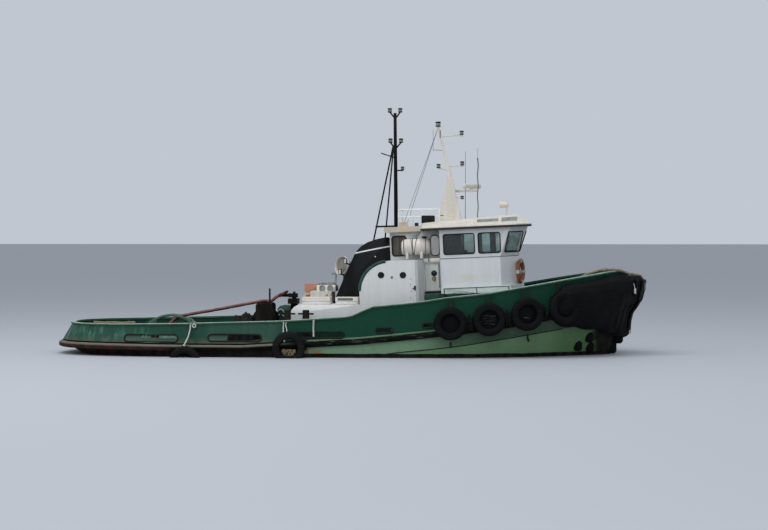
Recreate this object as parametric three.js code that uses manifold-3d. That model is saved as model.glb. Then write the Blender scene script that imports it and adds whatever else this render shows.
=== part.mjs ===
// A small harbour tug, about 20 m long, afloat. Millimetres, +X to the bow, +Y to port, +Z up.
// The origin is on the centreline at the waterline, about amidships.
import * as THREE from 'three';
import { mergeVertices } from 'three/addons/utils/BufferGeometryUtils.js';
import Module from 'manifold-3d';

const wasm = await Module();
wasm.setup();

// Driving dimensions

const GAP = 0.3;                     // between faces that rest on each other
const RAD = Math.PI / 180;
const CURVE = { small: 2, house: 6 };  // facets in a rounded corner

// The hull at its stations. deck is the deck's height and edge its half-breadth, keel the lowest
// point, turn and turnZ the point where the bottom's curve ends, full how boxy the bottom is.
const STATIONS = [
  { x: -10270, deck: 500, edge: 350, keel: 240, turn: 200, turnZ: 290, full: 2.0 },
  { x: -10180, deck: 500, edge: 980, keel: 230, turn: 780, turnZ: 285, full: 2.0 },
  { x: -9900, deck: 500, edge: 1600, keel: 215, turn: 1330, turnZ: 275, full: 2.0 },
  { x: -9650, deck: 495, edge: 1900, keel: 150, turn: 1620, turnZ: 255, full: 2.2 },
  { x: -9400, deck: 495, edge: 2120, keel: -30, turn: 1850, turnZ: 220, full: 2.4 },
  { x: -8800, deck: 490, edge: 2450, keel: -140, turn: 2200, turnZ: 150, full: 2.4 },
  { x: -8000, deck: 485, edge: 2720, keel: -270, turn: 2500, turnZ: 60, full: 2.2 },
  { x: -6800, deck: 470, edge: 2920, keel: -780, turn: 2750, turnZ: 0, full: 2.1 },
  { x: -5400, deck: 460, edge: 3030, keel: -1320, turn: 2900, turnZ: 0, full: 2.2 },
  { x: -3600, deck: 460, edge: 3100, keel: -1750, turn: 3000, turnZ: 0, full: 2.5 },
  { x: -1600, deck: 580, edge: 3100, keel: -1880, turn: 3050, turnZ: 0, full: 2.7 },
  { x: 400, deck: 700, edge: 3100, keel: -1880, turn: 3050, turnZ: 0, full: 2.7 },
  { x: 2400, deck: 900, edge: 3100, keel: -1840, turn: 3000, turnZ: 0, full: 2.6 },
  { x: 4000, deck: 1080, edge: 3050, keel: -1780, turn: 2800, turnZ: 0, full: 2.3 },
  { x: 5400, deck: 1280, edge: 2900, keel: -1680, turn: 2350, turnZ: 0, full: 2.0 },
  { x: 6600, deck: 1500, edge: 2600, keel: -1500, turn: 1750, turnZ: 0, full: 1.8 },
  { x: 7500, deck: 1680, edge: 2150, keel: -1220, turn: 1150, turnZ: 0, full: 1.6 },
  { x: 8200, deck: 1795, edge: 1600, keel: -760, turn: 600, turnZ: 20, full: 1.5 },
  { x: 8700, deck: 1880, edge: 1120, keel: -20, turn: 240, turnZ: 330, full: 1.5 },
  { x: 9050, deck: 1925, edge: 680, keel: 800, turn: 240, turnZ: 1080, full: 1.6 },
  { x: 9340, deck: 1960, edge: 220, keel: 1560, turn: 110, turnZ: 1680, full: 1.8 },
];
const BOTTOM_STEPS = 5;              // facets in each side of the bottom's curve

// Height of the bulwark's rail along the boat, as x and z pairs
const RAIL = [[-10300, 1040], [-9650, 1030], [-8050, 1035], [-5550, 1080], [-2300, 1175],
  [-1170, 1250], [-160, 1320], [70, 1370], [400, 1520], [770, 1670], [1670, 1750], [2440, 1840],
  [3170, 1960], [4660, 2120], [5650, 2300], [7140, 2560], [8570, 2790], [8900, 2825], [9500, 2740]];
// How far the rail stands inboard of the deck's edge, as x and offset pairs
const LEAN = [[-10300, 330], [-9400, 230], [-8000, 150], [-5400, 80], [0, 50], [4000, 20],
  [6600, -30], [8200, -60], [9500, 40]];

const PLATE = 60;                    // bulwark and house walls
const BULWARK_ENDS = { stern: -8000, side: 3000, bow: 7140 };
const CAP = { over: 45, height: 60 };
const STRAKE = { below: 50, height: 200, out: 140, end: 7350 };
// Freeing ports in the bulwarks: x from, x to, z of the middle, height
const PORTS = [
  { x0: -7680, x1: -5820, z: 620, height: 240 },
  { x0: -4780, x1: -2980, z: 650, height: 230 },
  { x0: -1830, x1: -200, z: 760, height: 200 },
  { x0: 870, x1: 1430, z: 915, height: 180 },
  { x0: 2420, x1: 2780, z: 1090, height: 160 },
];

// Bow fender: section as outboard offset from the deck's edge and height above it
const FENDER_START = 7720;
const FENDER = [[-330, -1150], [120, -850], [430, -350], [560, 250], [480, 520], [250, 620]];
const LOW_FENDERS = [{ x: 7800, z0: 330, r: 260 }, { x: 8330, z0: 420, r: 230 }];

const TYRE = { out: 555, hole: 300, width: 270, sides: 16 };
const TYRES_FORWARD = [
  { x: 3350, z: 1160 }, { x: 4610, z: 1300 }, { x: 5890, z: 1470 }, { x: 7040, z: 1650 }];
const TYRE_MID = { x: -2020, z: 340 };
const TYRE_AFT = { x: -5500, z: -160 };

const ENGINE = { x0: -1100, x1: 1500, half: 650, z0: -1500, z1: 250 };
const WELL = { x0: -1500, x1: 2000, half: 1400, z0: -1500 };

// The low casing over the engine and the houses on it
const CASING = { x0: -2110, x1: 253, half: 2200, top: 1740, corner: 360, floor: -2000 };
const TILT = 2.5 * RAD;              // the houses follow the sheer, bow up
const HOUSE = { x0: 330, x1: 2500, half: 2200, top: 3160, corner: 1000, chamfer: 260 };
const PASSAGE = { x0: 2500, x1: 3100, half: 1750, top: 3160 };
const HATCH = { x0: 2540, x1: 3060, z0: 2080, z1: 3010, leaf: 40, gap: 10 };
const TRUNK = { x0: 3100, x1: 5850, half: 2240, top: 2180, nose: 1350, cut: 450 };
const WHEELHOUSE = { x0: 3100, x1: 5700, half: 2080, nose: 1250, cut: 580, sill: 3160, top: 4130, rake: 360 };
const SIDE_WINDOWS = [{ x0: 3230, x1: 4270 }, { x0: 4400, x1: 5140 }];
const CORNER_WINDOW_HALF = 430;
const WINDOW = { z0: 3290, z1: 3970, round: 70 };
const UPPER = { x0: 1370, plateX0: 1190, x1: 3090, half: 1300, top: 4130 };
const UPPER_WINDOW = { x0: 1440, x1: 1930, z0: 3310, z1: 3980 };
const ROOF = { x0: 2480, x1: 6200, half: 2260, nose: 1500, cut: 500, z0: 4135, fascia: 100,
  topX0: 2600, topX1: 5750, topHalf: 1500, topAft: 4400, topFore: 4560 };
const FUNNEL_HALF = 700;
const FUNNEL = [[-810, 1740], [-690, 2000], [-330, 2850], [-20, 3510], [160, 3700], [380, 3840],
  [700, 3950], [980, 4010], [1130, 3990], [1300, 3950], [1320, 3100], [1320, 1740]];

const RUDDER_X = -8350;
const HEEL_TOP = -2090;
const PROP = { x: -7620, z: -1230, hub: 150, length: 320 };

// Shape helpers

function solid(geometry) {
  const bare = geometry.clone();
  for (const name of Object.keys(bare.attributes)) {
    if (name !== 'position') bare.deleteAttribute(name);
  }
  const merged = mergeVertices(bare, 1e-3);
  const vertProperties = new Float32Array(merged.attributes.position.array);
  const triVerts = new Uint32Array(merged.index.array);
  let volume = 0;
  const corner = [new THREE.Vector3(), new THREE.Vector3(), new THREE.Vector3()];
  for (let i = 0; i < triVerts.length; i += 3) {
    corner.forEach((v, k) => v.fromArray(vertProperties, triVerts[i + k] * 3));
    volume += corner[0].dot(corner[1].clone().cross(corner[2]));
  }
  if (volume < 0) {
    for (let i = 0; i < triVerts.length; i += 3) {
      [triVerts[i], triVerts[i + 1]] = [triVerts[i + 1], triVerts[i]];
    }
  }
  return new wasm.Manifold(new wasm.Mesh({ numProp: 3, vertProperties, triVerts }));
}

function join(...parts) {
  return parts.flat().reduce((sum, part) => sum.add(part));
}

function cut(body, ...tools) {
  return tools.flat().reduce((left, tool) => left.subtract(tool), body);
}

function box(x0, x1, y0, y1, z0, z1) {
  const geometry = new THREE.BoxGeometry(x1 - x0, y1 - y0, z1 - z0);
  geometry.translate((x0 + x1) / 2, (y0 + y1) / 2, (z0 + z1) / 2);
  return solid(geometry);
}

function extrude(outline, depth, curveSegments = CURVE.small) {
  const shape = Array.isArray(outline)
    ? new THREE.Shape(outline.map(([a, b]) => new THREE.Vector2(a, b)))
    : outline;
  return new THREE.ExtrudeGeometry(shape, { depth, bevelEnabled: false, steps: 1, curveSegments });
}

// An outline in x and z, from y0 to y1
function prismY(outline, y0, y1, curve = CURVE.small) {
  const geometry = extrude(outline, y1 - y0, curve);
  geometry.rotateX(Math.PI / 2);
  geometry.translate(0, y1, 0);
  return solid(geometry);
}

// An outline in x and y, from z0 to z1
function prismZ(outline, z0, z1) {
  const geometry = extrude(outline, z1 - z0);
  geometry.translate(0, 0, z0);
  return solid(geometry);
}

// An outline in y and z, from x0 to x1
function prismX(outline, x0, x1) {
  const geometry = extrude(outline, x1 - x0);
  const turn = new THREE.Matrix4().makeBasis(
    new THREE.Vector3(0, 1, 0), new THREE.Vector3(0, 0, 1), new THREE.Vector3(1, 0, 0));
  geometry.applyMatrix4(turn);
  geometry.translate(x0, 0, 0);
  return solid(geometry);
}

function roundedBox(a0, a1, b0, b1, r) {
  const shape = new THREE.Shape();
  shape.moveTo(a0 + r, b0);
  shape.lineTo(a1 - r, b0);
  shape.absarc(a1 - r, b0 + r, r, -Math.PI / 2, 0, false);
  shape.lineTo(a1, b1 - r);
  shape.absarc(a1 - r, b1 - r, r, 0, Math.PI / 2, false);
  shape.lineTo(a0 + r, b1);
  shape.absarc(a0 + r, b1 - r, r, Math.PI / 2, Math.PI, false);
  shape.lineTo(a0, b0 + r);
  shape.absarc(a0 + r, b0 + r, r, Math.PI, 1.5 * Math.PI, false);
  return shape;
}

function rod(from, to, radius, sides = 8, endRadius = radius) {
  const a = new THREE.Vector3(...from);
  const b = new THREE.Vector3(...to);
  const geometry = new THREE.CylinderGeometry(endRadius, radius, a.distanceTo(b), sides);
  const turn = new THREE.Quaternion().setFromUnitVectors(
    new THREE.Vector3(0, 1, 0), b.clone().sub(a).normalize());
  geometry.applyQuaternion(turn);
  geometry.translate(...a.add(b).multiplyScalar(0.5).toArray());
  return solid(geometry);
}

// A round bar through a list of points, mitred at its bends
function bar(points, radius, sides = 6) {
  const path = points.map((point) => new THREE.Vector3(...point));
  const ways = path.slice(1).map((point, i) => point.clone().sub(path[i]).normalize());
  const across = new THREE.Vector3(0, 0, 1).cross(ways[0]);
  if (across.length() < 0.1) across.set(0, 1, 0);
  across.normalize();
  const rise = ways[0].clone().cross(across);
  let ring = [];
  for (let i = 0; i < sides; i += 1) {
    const angle = (i / sides) * 2 * Math.PI;
    ring.push(path[0].clone().addScaledVector(across, radius * Math.cos(angle))
      .addScaledVector(rise, radius * Math.sin(angle)));
  }
  const rings = [ring];
  ways.forEach((way, i) => {
    const mitre = i + 1 < ways.length ? way.clone().add(ways[i + 1]).normalize() : way;
    ring = ring.map((v) => v.clone().addScaledVector(
      way, path[i + 1].clone().sub(v).dot(mitre) / way.dot(mitre)));
    rings.push(ring);
  });
  return solid(loft(rings));
}

// A profile of radius and height pairs turned about +Z
function turned(profile, segments = 16) {
  const points = profile.map(([r, z]) => new THREE.Vector2(r, z));
  const geometry = new THREE.LatheGeometry(points, segments);
  geometry.rotateX(Math.PI / 2);
  return geometry;
}

// Rings of points skinned in turn. A closed loft joins its last ring to its first, an open one
// has a fan over each end, so its end rings are convex.
function loft(rings, closed = false) {
  const count = rings[0].length;
  const position = rings.flat().flatMap((p) => [p.x, p.y, p.z]);
  const index = [];
  const spans = closed ? rings.length : rings.length - 1;
  for (let i = 0; i < spans; i += 1) {
    const next = (i + 1) % rings.length;
    for (let j = 0; j < count; j += 1) {
      const k = (j + 1) % count;
      const [a, b, c, d] = [i * count + j, i * count + k, next * count + k, next * count + j];
      index.push(a, b, c, a, c, d);
    }
  }
  const last = (rings.length - 1) * count;
  for (let j = 1; j < count - 1 && !closed; j += 1) {
    index.push(0, j + 1, j, last, last + j, last + j + 1);
  }
  const geometry = new THREE.BufferGeometry();
  geometry.setAttribute('position', new THREE.Float32BufferAttribute(position, 3));
  geometry.setIndex(index);
  return geometry;
}

function lookup(table, x) {
  if (x <= table[0][0]) return table[0][1];
  for (let i = 1; i < table.length; i += 1) {
    const [x0, v0] = table[i - 1];
    const [x1, v1] = table[i];
    if (x <= x1) return v0 + (v1 - v0) * (x - x0) / (x1 - x0);
  }
  return table[table.length - 1][1];
}

const mirror = (body) => body.mirror([0, 1, 0]);
const bothSides = (body) => join(body, mirror(body));
const tiltHouse = (body) => body.rotate([0, -TILT / RAD, 0]);

// The deck's edge seen from above, and points and heights along it

const EDGE = [[-10300, 0], ...STATIONS.map((s) => [s.x, s.edge]), [9400, 0]];
const DECK = STATIONS.map((s) => [s.x, s.deck]);
const STERN_X = EDGE[0][0];
const STEM_X = EDGE[EDGE.length - 1][0];
const MARKS = [...new Set([...EDGE, ...RAIL].map(([x]) => x).concat(Object.values(BULWARK_ENDS)))]
  .sort((a, b) => a - b);

function edgeFrame(x) {
  const y = lookup(EDGE, x);
  const step = 60;
  const ahead = Math.min(x + step, EDGE[EDGE.length - 1][0]);
  const behind = Math.max(x - step, EDGE[0][0]);
  const dx = ahead - behind;
  const dy = lookup(EDGE, ahead) - lookup(EDGE, behind);
  const length = Math.hypot(dx, dy);
  // outward is the edge's normal on the port side
  const outward = new THREE.Vector2(-dy / length, dx / length);
  if (x <= EDGE[0][0]) outward.set(-1, 0);
  if (x >= EDGE[EDGE.length - 1][0]) outward.set(1, 0);
  return { x, y, outward, deck: lookup(DECK, x), rail: lookup(RAIL, x), lean: lookup(LEAN, x) };
}

function atFrame(frame, offset, z, side) {
  const { x, y, outward } = frame;
  return new THREE.Vector3(x + outward.x * offset, side * (y + outward.y * offset), z);
}

// The x of every section that a run along the edge passes, ends included
function edgeRun(x0, x1) {
  return [x0, ...MARKS.filter((x) => x > x0 + 1 && x < x1 - 1), x1];
}

// Rings along one side, or from the starboard side round the stern or the bow to the port side
function ringsAlong(x0, x1, where, section) {
  const frames = edgeRun(x0, x1).map(edgeFrame);
  const side = (s) => frames.map(
    (frame) => section(frame).map(([offset, z]) => atFrame(frame, offset, z, s)));
  if (where === 'port') return side(1);
  if (where === 'starboard') return side(-1);
  if (where === 'stern') return [...side(-1).reverse(), ...side(1).slice(1)];
  return [...side(-1), ...side(1).reverse().slice(1)];
}

// Hull, keel and running gear

function hullSection(station, grow) {
  const half = [];
  for (let i = 0; i <= BOTTOM_STEPS; i += 1) {
    const t = (i / BOTTOM_STEPS) * (Math.PI / 2);
    const y = station.turn * Math.sin(t) ** (2 / station.full);
    const z = station.turnZ + (station.keel - station.turnZ) * Math.cos(t) ** (2 / station.full);
    half.push([y, z]);
  }
  half.push([station.edge, station.deck]);
  const last = half.length - 1;
  const grown = half.map(([y, z], i) => [
    y + (i ? grow : 0), z + (i === last ? grow : -grow * (1 - i / half.length))]);
  const port = grown.map(([y, z]) => new THREE.Vector3(station.x, y, z));
  const starboard = grown.slice(1).map(([y, z]) => new THREE.Vector3(station.x, -y, z)).reverse();
  return [...starboard, ...port];
}

function hullBody(grow = 0) {
  const rings = STATIONS.map((station) => hullSection(station, grow));
  rings[0].forEach((p) => { p.x -= grow; });
  rings[rings.length - 1].forEach((p) => { p.x += grow; });
  return solid(loft(rings));
}

const well = box(WELL.x0, WELL.x1, -WELL.half, WELL.half, WELL.z0, 1200);
const hull = cut(hullBody(), well);
const hullTool = hullBody(GAP);

const engine = box(ENGINE.x0, ENGINE.x1, -ENGINE.half, ENGINE.half, WELL.z0 + GAP, ENGINE.z1);

const KEEL_END = -7250;
const keelProfile = [[6300, -1400], [6300, -1560], [4000, -2050], [-2000, -2200], [-9050, -2200],
  [-9050, HEEL_TOP], [-7500, HEEL_TOP], [KEEL_END, -1900], [KEEL_END, -300], [-2000, -1400]];
const shaftBoss = rod([KEEL_END, 0, PROP.z], [-6300, 0, PROP.z], 190, 12);
const heelPin = rod([RUDDER_X, 0, HEEL_TOP - 30], [RUDDER_X, 0, HEEL_TOP + 50], 55, 10);
const keel = cut(join(prismY(keelProfile, -80, 80), shaftBoss, heelPin), hullTool);

const rudderOutline = [[-8130, -1980], [-9150, -1980], [-9200, -1300], [-9120, -560], [-8130, -560]];
const rudderBlade = prismY(rudderOutline, -65, 65);
const rudderStock = rod([RUDDER_X, 0, HEEL_TOP + GAP], [RUDDER_X, 0, -228], 85, 12);
const rudder = cut(join(rudderBlade, rudderStock), rod([RUDDER_X, 0, -2150], [RUDDER_X, 0, -2030], 60, 10));

function propellerBlade(turn) {
  const outline = [[-150, 90], [-230, 330], [-210, 560], [-60, 700], [110, 640], [200, 420], [140, 90]];
  const blade = extrude(outline, 36);
  blade.translate(0, 0, -18);
  blade.rotateX(Math.PI / 2);
  blade.rotateZ(90 * RAD);
  blade.rotateZ(34 * RAD);
  blade.rotateX(turn);
  return solid(blade);
}

const propellerHub = rod([-PROP.length / 2, 0, 0], [PROP.length / 2, 0, 0], 80, 14, PROP.hub);
const propellerShaft = rod([0, 0, 0], [KEEL_END - GAP - PROP.x, 0, 0], 75, 12);
const propeller = join(propellerHub, propellerShaft, [0, 1, 2, 3].map((n) => propellerBlade(n * 90 * RAD)))
  .translate([PROP.x, 0, PROP.z]);

// Bulwarks, cap rail, rubbing strake and bow fender

const bulwarkSection = ({ deck, rail, lean }) => [
  [0, deck + GAP], [-lean, rail], [-lean - PLATE, rail], [-PLATE, deck + GAP]];

function freeingPort(port) {
  const half = port.height / 2;
  return prismY(roundedBox(port.x0, port.x1, port.z - half, port.z + half, half - 1), 2000, 3600);
}

function sideBulwark(x0, x1) {
  const wall = solid(loft(ringsAlong(x0 + GAP, x1 - GAP, 'port', bulwarkSection)));
  return cut(wall, PORTS.filter((port) => port.x0 > x0 - 1500 && port.x1 < x1 + 1500).map(freeingPort));
}

const bulwarkStern = solid(loft(ringsAlong(STERN_X, BULWARK_ENDS.stern, 'stern', bulwarkSection)));
const bulwarkAft = sideBulwark(BULWARK_ENDS.stern, BULWARK_ENDS.side);
const bulwarkFore = sideBulwark(BULWARK_ENDS.side, BULWARK_ENDS.bow);
const bulwarkBow = solid(loft(ringsAlong(BULWARK_ENDS.bow, STEM_X, 'bow', bulwarkSection)));

const capSection = ({ rail, lean }) => [
  [-lean + CAP.over, rail + GAP], [-lean + CAP.over, rail + CAP.height],
  [-lean - PLATE - CAP.over, rail + CAP.height], [-lean - PLATE - CAP.over, rail + GAP]];
const capPort = ringsAlong(STERN_X, STEM_X, 'port', capSection);
const capStarboard = ringsAlong(STERN_X, STEM_X, 'starboard', capSection).reverse().slice(1, -1);
const bulwarks = [bulwarkStern, bulwarkAft, mirror(bulwarkAft), bulwarkFore, mirror(bulwarkFore), bulwarkBow];
const capRail = cut(solid(loft([...capPort, ...capStarboard], true)),
  bulwarks.flatMap((bulwark) => [bulwark, bulwark.translate([0, 0, GAP])]));

const strakeSection = (frame) => {
  const top = frame.deck - STRAKE.below;
  const low = top - STRAKE.height;
  return [[-160, top], [STRAKE.out * 0.6, top], [STRAKE.out, top - 50], [STRAKE.out, low + 50],
    [STRAKE.out * 0.6, low], [-160, low]];
};
const strake = cut(solid(loft(ringsAlong(STERN_X, STRAKE.end, 'stern', strakeSection))), hullTool);

// The bow's bulwark and the space a little way inside it
const insideBowSection = (frame) => {
  const rise = (frame.rail + 700 - frame.deck) / (frame.rail - frame.deck);
  const inner = -400 - Math.min(400, frame.y * 0.55);
  return [[1, frame.deck - 5], [1 - frame.lean, frame.rail], [1 - frame.lean * rise, frame.rail + 700],
    [inner, frame.rail + 700], [inner, frame.deck - 150]];
};
const bowCapSection = (frame) => capSection(frame).map(([offset, z], i) => [
  offset + (i < 2 ? 2 : -2), z + (i === 0 || i === 3 ? -2 : 2)]);
const bowTool = join(hullBody(1), solid(loft(ringsAlong(BULWARK_ENDS.bow, STEM_X, 'bow', insideBowSection))),
  solid(loft(ringsAlong(BULWARK_ENDS.bow, STEM_X, 'bow', bowCapSection))));
const fenderSection = (frame) => {
  const reach = Math.min(300, frame.y * 0.5);
  return [[-360 - reach, FENDER[0][1]], ...FENDER, [-30 - reach, FENDER[FENDER.length - 1][1]]]
    .map(([offset, z]) => [offset, frame.deck + z]);
};
const fenderMass = solid(loft(ringsAlong(FENDER_START, STEM_X, 'bow', fenderSection)));
const lowFenders = LOW_FENDERS.map(({ x, z0, r }) => {
  const { y } = edgeFrame(x);
  return bothSides(rod([x, y * 0.62, z0], [x, y * 0.86, 1400], r, 10));
});
const bowFender = cut(join(fenderMass, lowFenders), bowTool);

// Tyre fenders

const tyreProfile = [
  [TYRE.hole, -TYRE.width / 2], [TYRE.out - 70, -TYRE.width / 2], [TYRE.out, -TYRE.width * 0.25],
  [TYRE.out, TYRE.width * 0.25], [TYRE.out - 70, TYRE.width / 2], [TYRE.hole, TYRE.width / 2],
  [TYRE.hole, -TYRE.width / 2]];

function tyreCentre({ x, z }) {
  const frame = edgeFrame(x);
  return { centre: atFrame(frame, STRAKE.out + TYRE.width / 2 + GAP * 2, z, 1), outward: frame.outward };
}

function tyre(place) {
  const { centre, outward } = tyreCentre(place);
  const geometry = turned(tyreProfile, TYRE.sides);
  geometry.applyQuaternion(new THREE.Quaternion().setFromUnitVectors(
    new THREE.Vector3(0, 0, 1), new THREE.Vector3(outward.x, outward.y, 0)));
  geometry.translate(centre.x, centre.y, centre.z);
  return solid(geometry);
}

// Rubber links hold the forward tyres in a row
const tyreLinks = TYRES_FORWARD.slice(1).map((place, i) => {
  const from = tyreCentre(TYRES_FORWARD[i]).centre;
  const to = tyreCentre(place).centre;
  const along = to.clone().sub(from).normalize().multiplyScalar(TYRE.out - 90);
  return rod(from.add(along).toArray(), to.sub(along).toArray(), 75, 6);
});
const tyresForward = join(TYRES_FORWARD.map(tyre), tyreLinks);
const tyreMid = tyre(TYRE_MID);
const tyreAft = tyre(TYRE_AFT);

// Casing over the engine. Its front leans with the deckhouse's after wall.

const casingOutline = (inset) => {
  const shape = new THREE.Shape();
  const r = CASING.corner - inset;
  const footX = CASING.x1 + (CASING.top - CASING.floor) * Math.tan(TILT);
  shape.moveTo(CASING.x0 + inset, CASING.floor);
  shape.lineTo(footX - inset, CASING.floor);
  shape.lineTo(CASING.x1 - inset, CASING.top - inset);
  shape.lineTo(CASING.x0 + inset + r, CASING.top - inset);
  shape.absarc(CASING.x0 + inset + r, CASING.top - inset - r, r, Math.PI / 2, Math.PI, false);
  return shape;
};
const SKYLIGHT = { x0: -560, x1: 130, y0: -1950, y1: -1250 };
const MANHOLE = { x0: -1700, x1: -820, y0: -1950, y1: -1300 };
const LID = { height: 240, over: 40, coaming: 120, lip: 30 };

function coaming({ x0, x1, y0, y1 }) {
  const { lip } = LID;
  return box(x0 - lip, x1 + lip, y0 - lip, y1 + lip, CASING.top - 10, CASING.top + LID.coaming);
}

const casingHole = (o) => box(o.x0, o.x1, o.y0, o.y1, CASING.top - 300, CASING.top + 300);
const casing = cut(
  join(prismY(casingOutline(0), -CASING.half, CASING.half, CURVE.house), coaming(SKYLIGHT), coaming(MANHOLE)),
  prismY(casingOutline(PLATE), -CASING.half + PLATE, CASING.half - PLATE, CURVE.house),
  casingHole(SKYLIGHT), casingHole(MANHOLE), hullTool, box(-3000, 3000, -3000, 3000, -3000, 300));

function lid(opening, grille) {
  const z0 = CASING.top + LID.coaming + GAP;
  const { over } = LID;
  const plate = box(opening.x0 - over, opening.x1 + over, opening.y0 - over, opening.y1 + over,
    z0, z0 + LID.height - LID.coaming);
  if (!grille) return plate;
  const bars = [0, 1, 2].map((n) => {
    const x = opening.x0 + 90 + n * 190;
    return box(x, x + 110, opening.y0 + 90, opening.y1 - 90, z0 + 25, z0 + 200);
  });
  return cut(plate, bars);
}

const skylightLid = lid(SKYLIGHT, true);
const manholeLid = lid(MANHOLE, false);

// Houses. They are drawn level and then tilted with the sheer.

const houseOutline = (inset, floor) => {
  const shape = new THREE.Shape();
  const r = HOUSE.corner - inset;
  shape.moveTo(HOUSE.x0 + inset, floor);
  shape.lineTo(HOUSE.x1 - inset, floor);
  shape.lineTo(HOUSE.x1 - inset, HOUSE.top - inset);
  shape.lineTo(HOUSE.x0 + inset + r, HOUSE.top - inset);
  shape.absarc(HOUSE.x0 + inset + r, HOUSE.top - inset - r, r, Math.PI / 2, Math.PI, false);
  return shape;
};
const housePlan = (inset) => {
  const { x0, x1, half, chamfer } = HOUSE;
  return [[x0 - 200, -half + inset], [x1 - chamfer, -half + inset], [x1 - inset, -half + chamfer + inset],
    [x1 - inset, half - chamfer - inset], [x1 - chamfer, half - inset], [x0 - 200, half - inset]];
};
const houseFull = (inset, floor) => prismY(houseOutline(inset, floor), -HOUSE.half, HOUSE.half, CURVE.house)
  .intersect(prismZ(housePlan(inset), floor, 4000));
const casingTool = prismY(casingOutline(-GAP), -CASING.half - GAP, CASING.half + GAP, CURVE.house);
const aftHouse = cut(tiltHouse(cut(houseFull(0, 200), houseFull(PLATE, -500))), hullTool, casingTool);

const hatchHole = box(HATCH.x0, HATCH.x1, PASSAGE.half - 200, PASSAGE.half + 200, HATCH.z0, HATCH.z1);
const passage = cut(tiltHouse(cut(
  box(PASSAGE.x0 + GAP, PASSAGE.x1 - GAP, -PASSAGE.half, PASSAGE.half, 200, PASSAGE.top),
  box(PASSAGE.x0 - 100, PASSAGE.x1 + 100, -PASSAGE.half + PLATE, PASSAGE.half - PLATE,
    0, PASSAGE.top - PLATE),
  bothSides(hatchHole))), hullTool);

const hatchLeaf = box(HATCH.x0 + HATCH.gap, HATCH.x1 - HATCH.gap, PASSAGE.half - HATCH.leaf, PASSAGE.half,
  HATCH.z0 + HATCH.gap, HATCH.z1 - HATCH.gap);
const HINGE = { x: HATCH.x0 + HATCH.gap + 10, y: PASSAGE.half - 10 };
const hatchPins = [
  rod([HINGE.x, HINGE.y, HATCH.z0 + GAP], [HINGE.x, HINGE.y, HATCH.z0 + 30], 12),
  rod([HINGE.x, HINGE.y, HATCH.z1 - 30], [HINGE.x, HINGE.y, HATCH.z1 - GAP], 12)];
const hatchPort = join(hatchLeaf, hatchPins);

// A plan with a narrower nose, for the trunk, wheelhouse and roof
const nosePlan = ({ x0, x1, half, nose, cut: taper }, inset, x1Shift = 0) => [
  [x0 + inset, -half + inset], [x1 + x1Shift - taper, -half + inset],
  [x1 + x1Shift - inset, -nose + inset * 0.4], [x1 + x1Shift - inset, nose - inset * 0.4],
  [x1 + x1Shift - taper, half - inset], [x0 + inset, half - inset]];

const trunkBody = prismZ(nosePlan(TRUNK, 0), 200, TRUNK.top);
const HANDRAIL = { y: 2300, top: 2150, foot: 1970, r: 16, xs: [3200, 4290, 5370] };
const handrail = bothSides(join(
  bar([[3170, HANDRAIL.y, HANDRAIL.top], [5400, HANDRAIL.y, HANDRAIL.top]], HANDRAIL.r, 6),
  HANDRAIL.xs.map((x) => bar([[x, HANDRAIL.y, HANDRAIL.top], [x, HANDRAIL.y, HANDRAIL.foot],
    [x, TRUNK.half - 40, HANDRAIL.foot]], HANDRAIL.r, 6))));
const trunk = cut(tiltHouse(join(trunkBody, handrail)), hullTool);

const lowerWalls = tiltHouse(cut(
  prismZ(nosePlan(WHEELHOUSE, 0), TRUNK.top + GAP, WHEELHOUSE.sill),
  prismZ(nosePlan(WHEELHOUSE, PLATE), 0, 5000),
  box(3000, 3200, 400, 1150, TRUNK.top - 10, 5000)));

// The window band leans out forward, so it is a loft between its foot and its head
function bandSolid(inset, z0, z1) {
  const plan = (shift) => nosePlan(WHEELHOUSE, inset, shift);
  const rakeAt = (z) => WHEELHOUSE.rake * (z - WHEELHOUSE.sill) / (WHEELHOUSE.top - WHEELHOUSE.sill);
  const ring = (z) => plan(rakeAt(z)).map(([x, y]) => new THREE.Vector3(x, y, z));
  return solid(loft([ring(z0), ring(z1)]));
}

const sideWindows = SIDE_WINDOWS.map(({ x0, x1 }) => bothSides(
  prismY(roundedBox(x0, x1, WINDOW.z0, WINDOW.z1, WINDOW.round), 1500, 2600)));
const frontWindows = [-1, 0, 1].map((n) => prismX(
  roundedBox(n * 800 - 350, n * 800 + 350, WINDOW.z0, WINDOW.z1, WINDOW.round), 5300, 6400));
const aftWindows = [-1, 1].map((n) => prismX(
  roundedBox(n * 1680 - 220, n * 1680 + 220, WINDOW.z0, WINDOW.z1, WINDOW.round), 3000, 3250));
const cornerWindows = (() => {
  const midX = WHEELHOUSE.x1 - WHEELHOUSE.cut / 2 + WHEELHOUSE.rake / 2;
  const midY = (WHEELHOUSE.half + WHEELHOUSE.nose) / 2;
  const turn = Math.atan2(WHEELHOUSE.cut, WHEELHOUSE.half - WHEELHOUSE.nose) / RAD;
  const pane = prismX(
    roundedBox(-CORNER_WINDOW_HALF, CORNER_WINDOW_HALF, WINDOW.z0, WINDOW.z1, WINDOW.round), -400, 400);
  return bothSides(pane.rotate([0, 0, turn]).translate([midX, midY, 0]));
})();
const bandDoorway = box(3000, 3200, 400, 1150, 3000, 3980);
const windowBand = tiltHouse(cut(
  bandSolid(0, WHEELHOUSE.sill + GAP, WHEELHOUSE.top),
  bandSolid(PLATE, 3000, 4400), sideWindows, frontWindows, aftWindows, cornerWindows, bandDoorway));

const GLASS = 12;
const glass = tiltHouse(cut(
  bandSolid(PLATE + GAP, WINDOW.z0 - 40, WINDOW.z1 + 40), bandSolid(PLATE + GAP + GLASS, 3000, 4400),
  box(3000, 3300, 350, 1200, 3000, 4400)));

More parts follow.
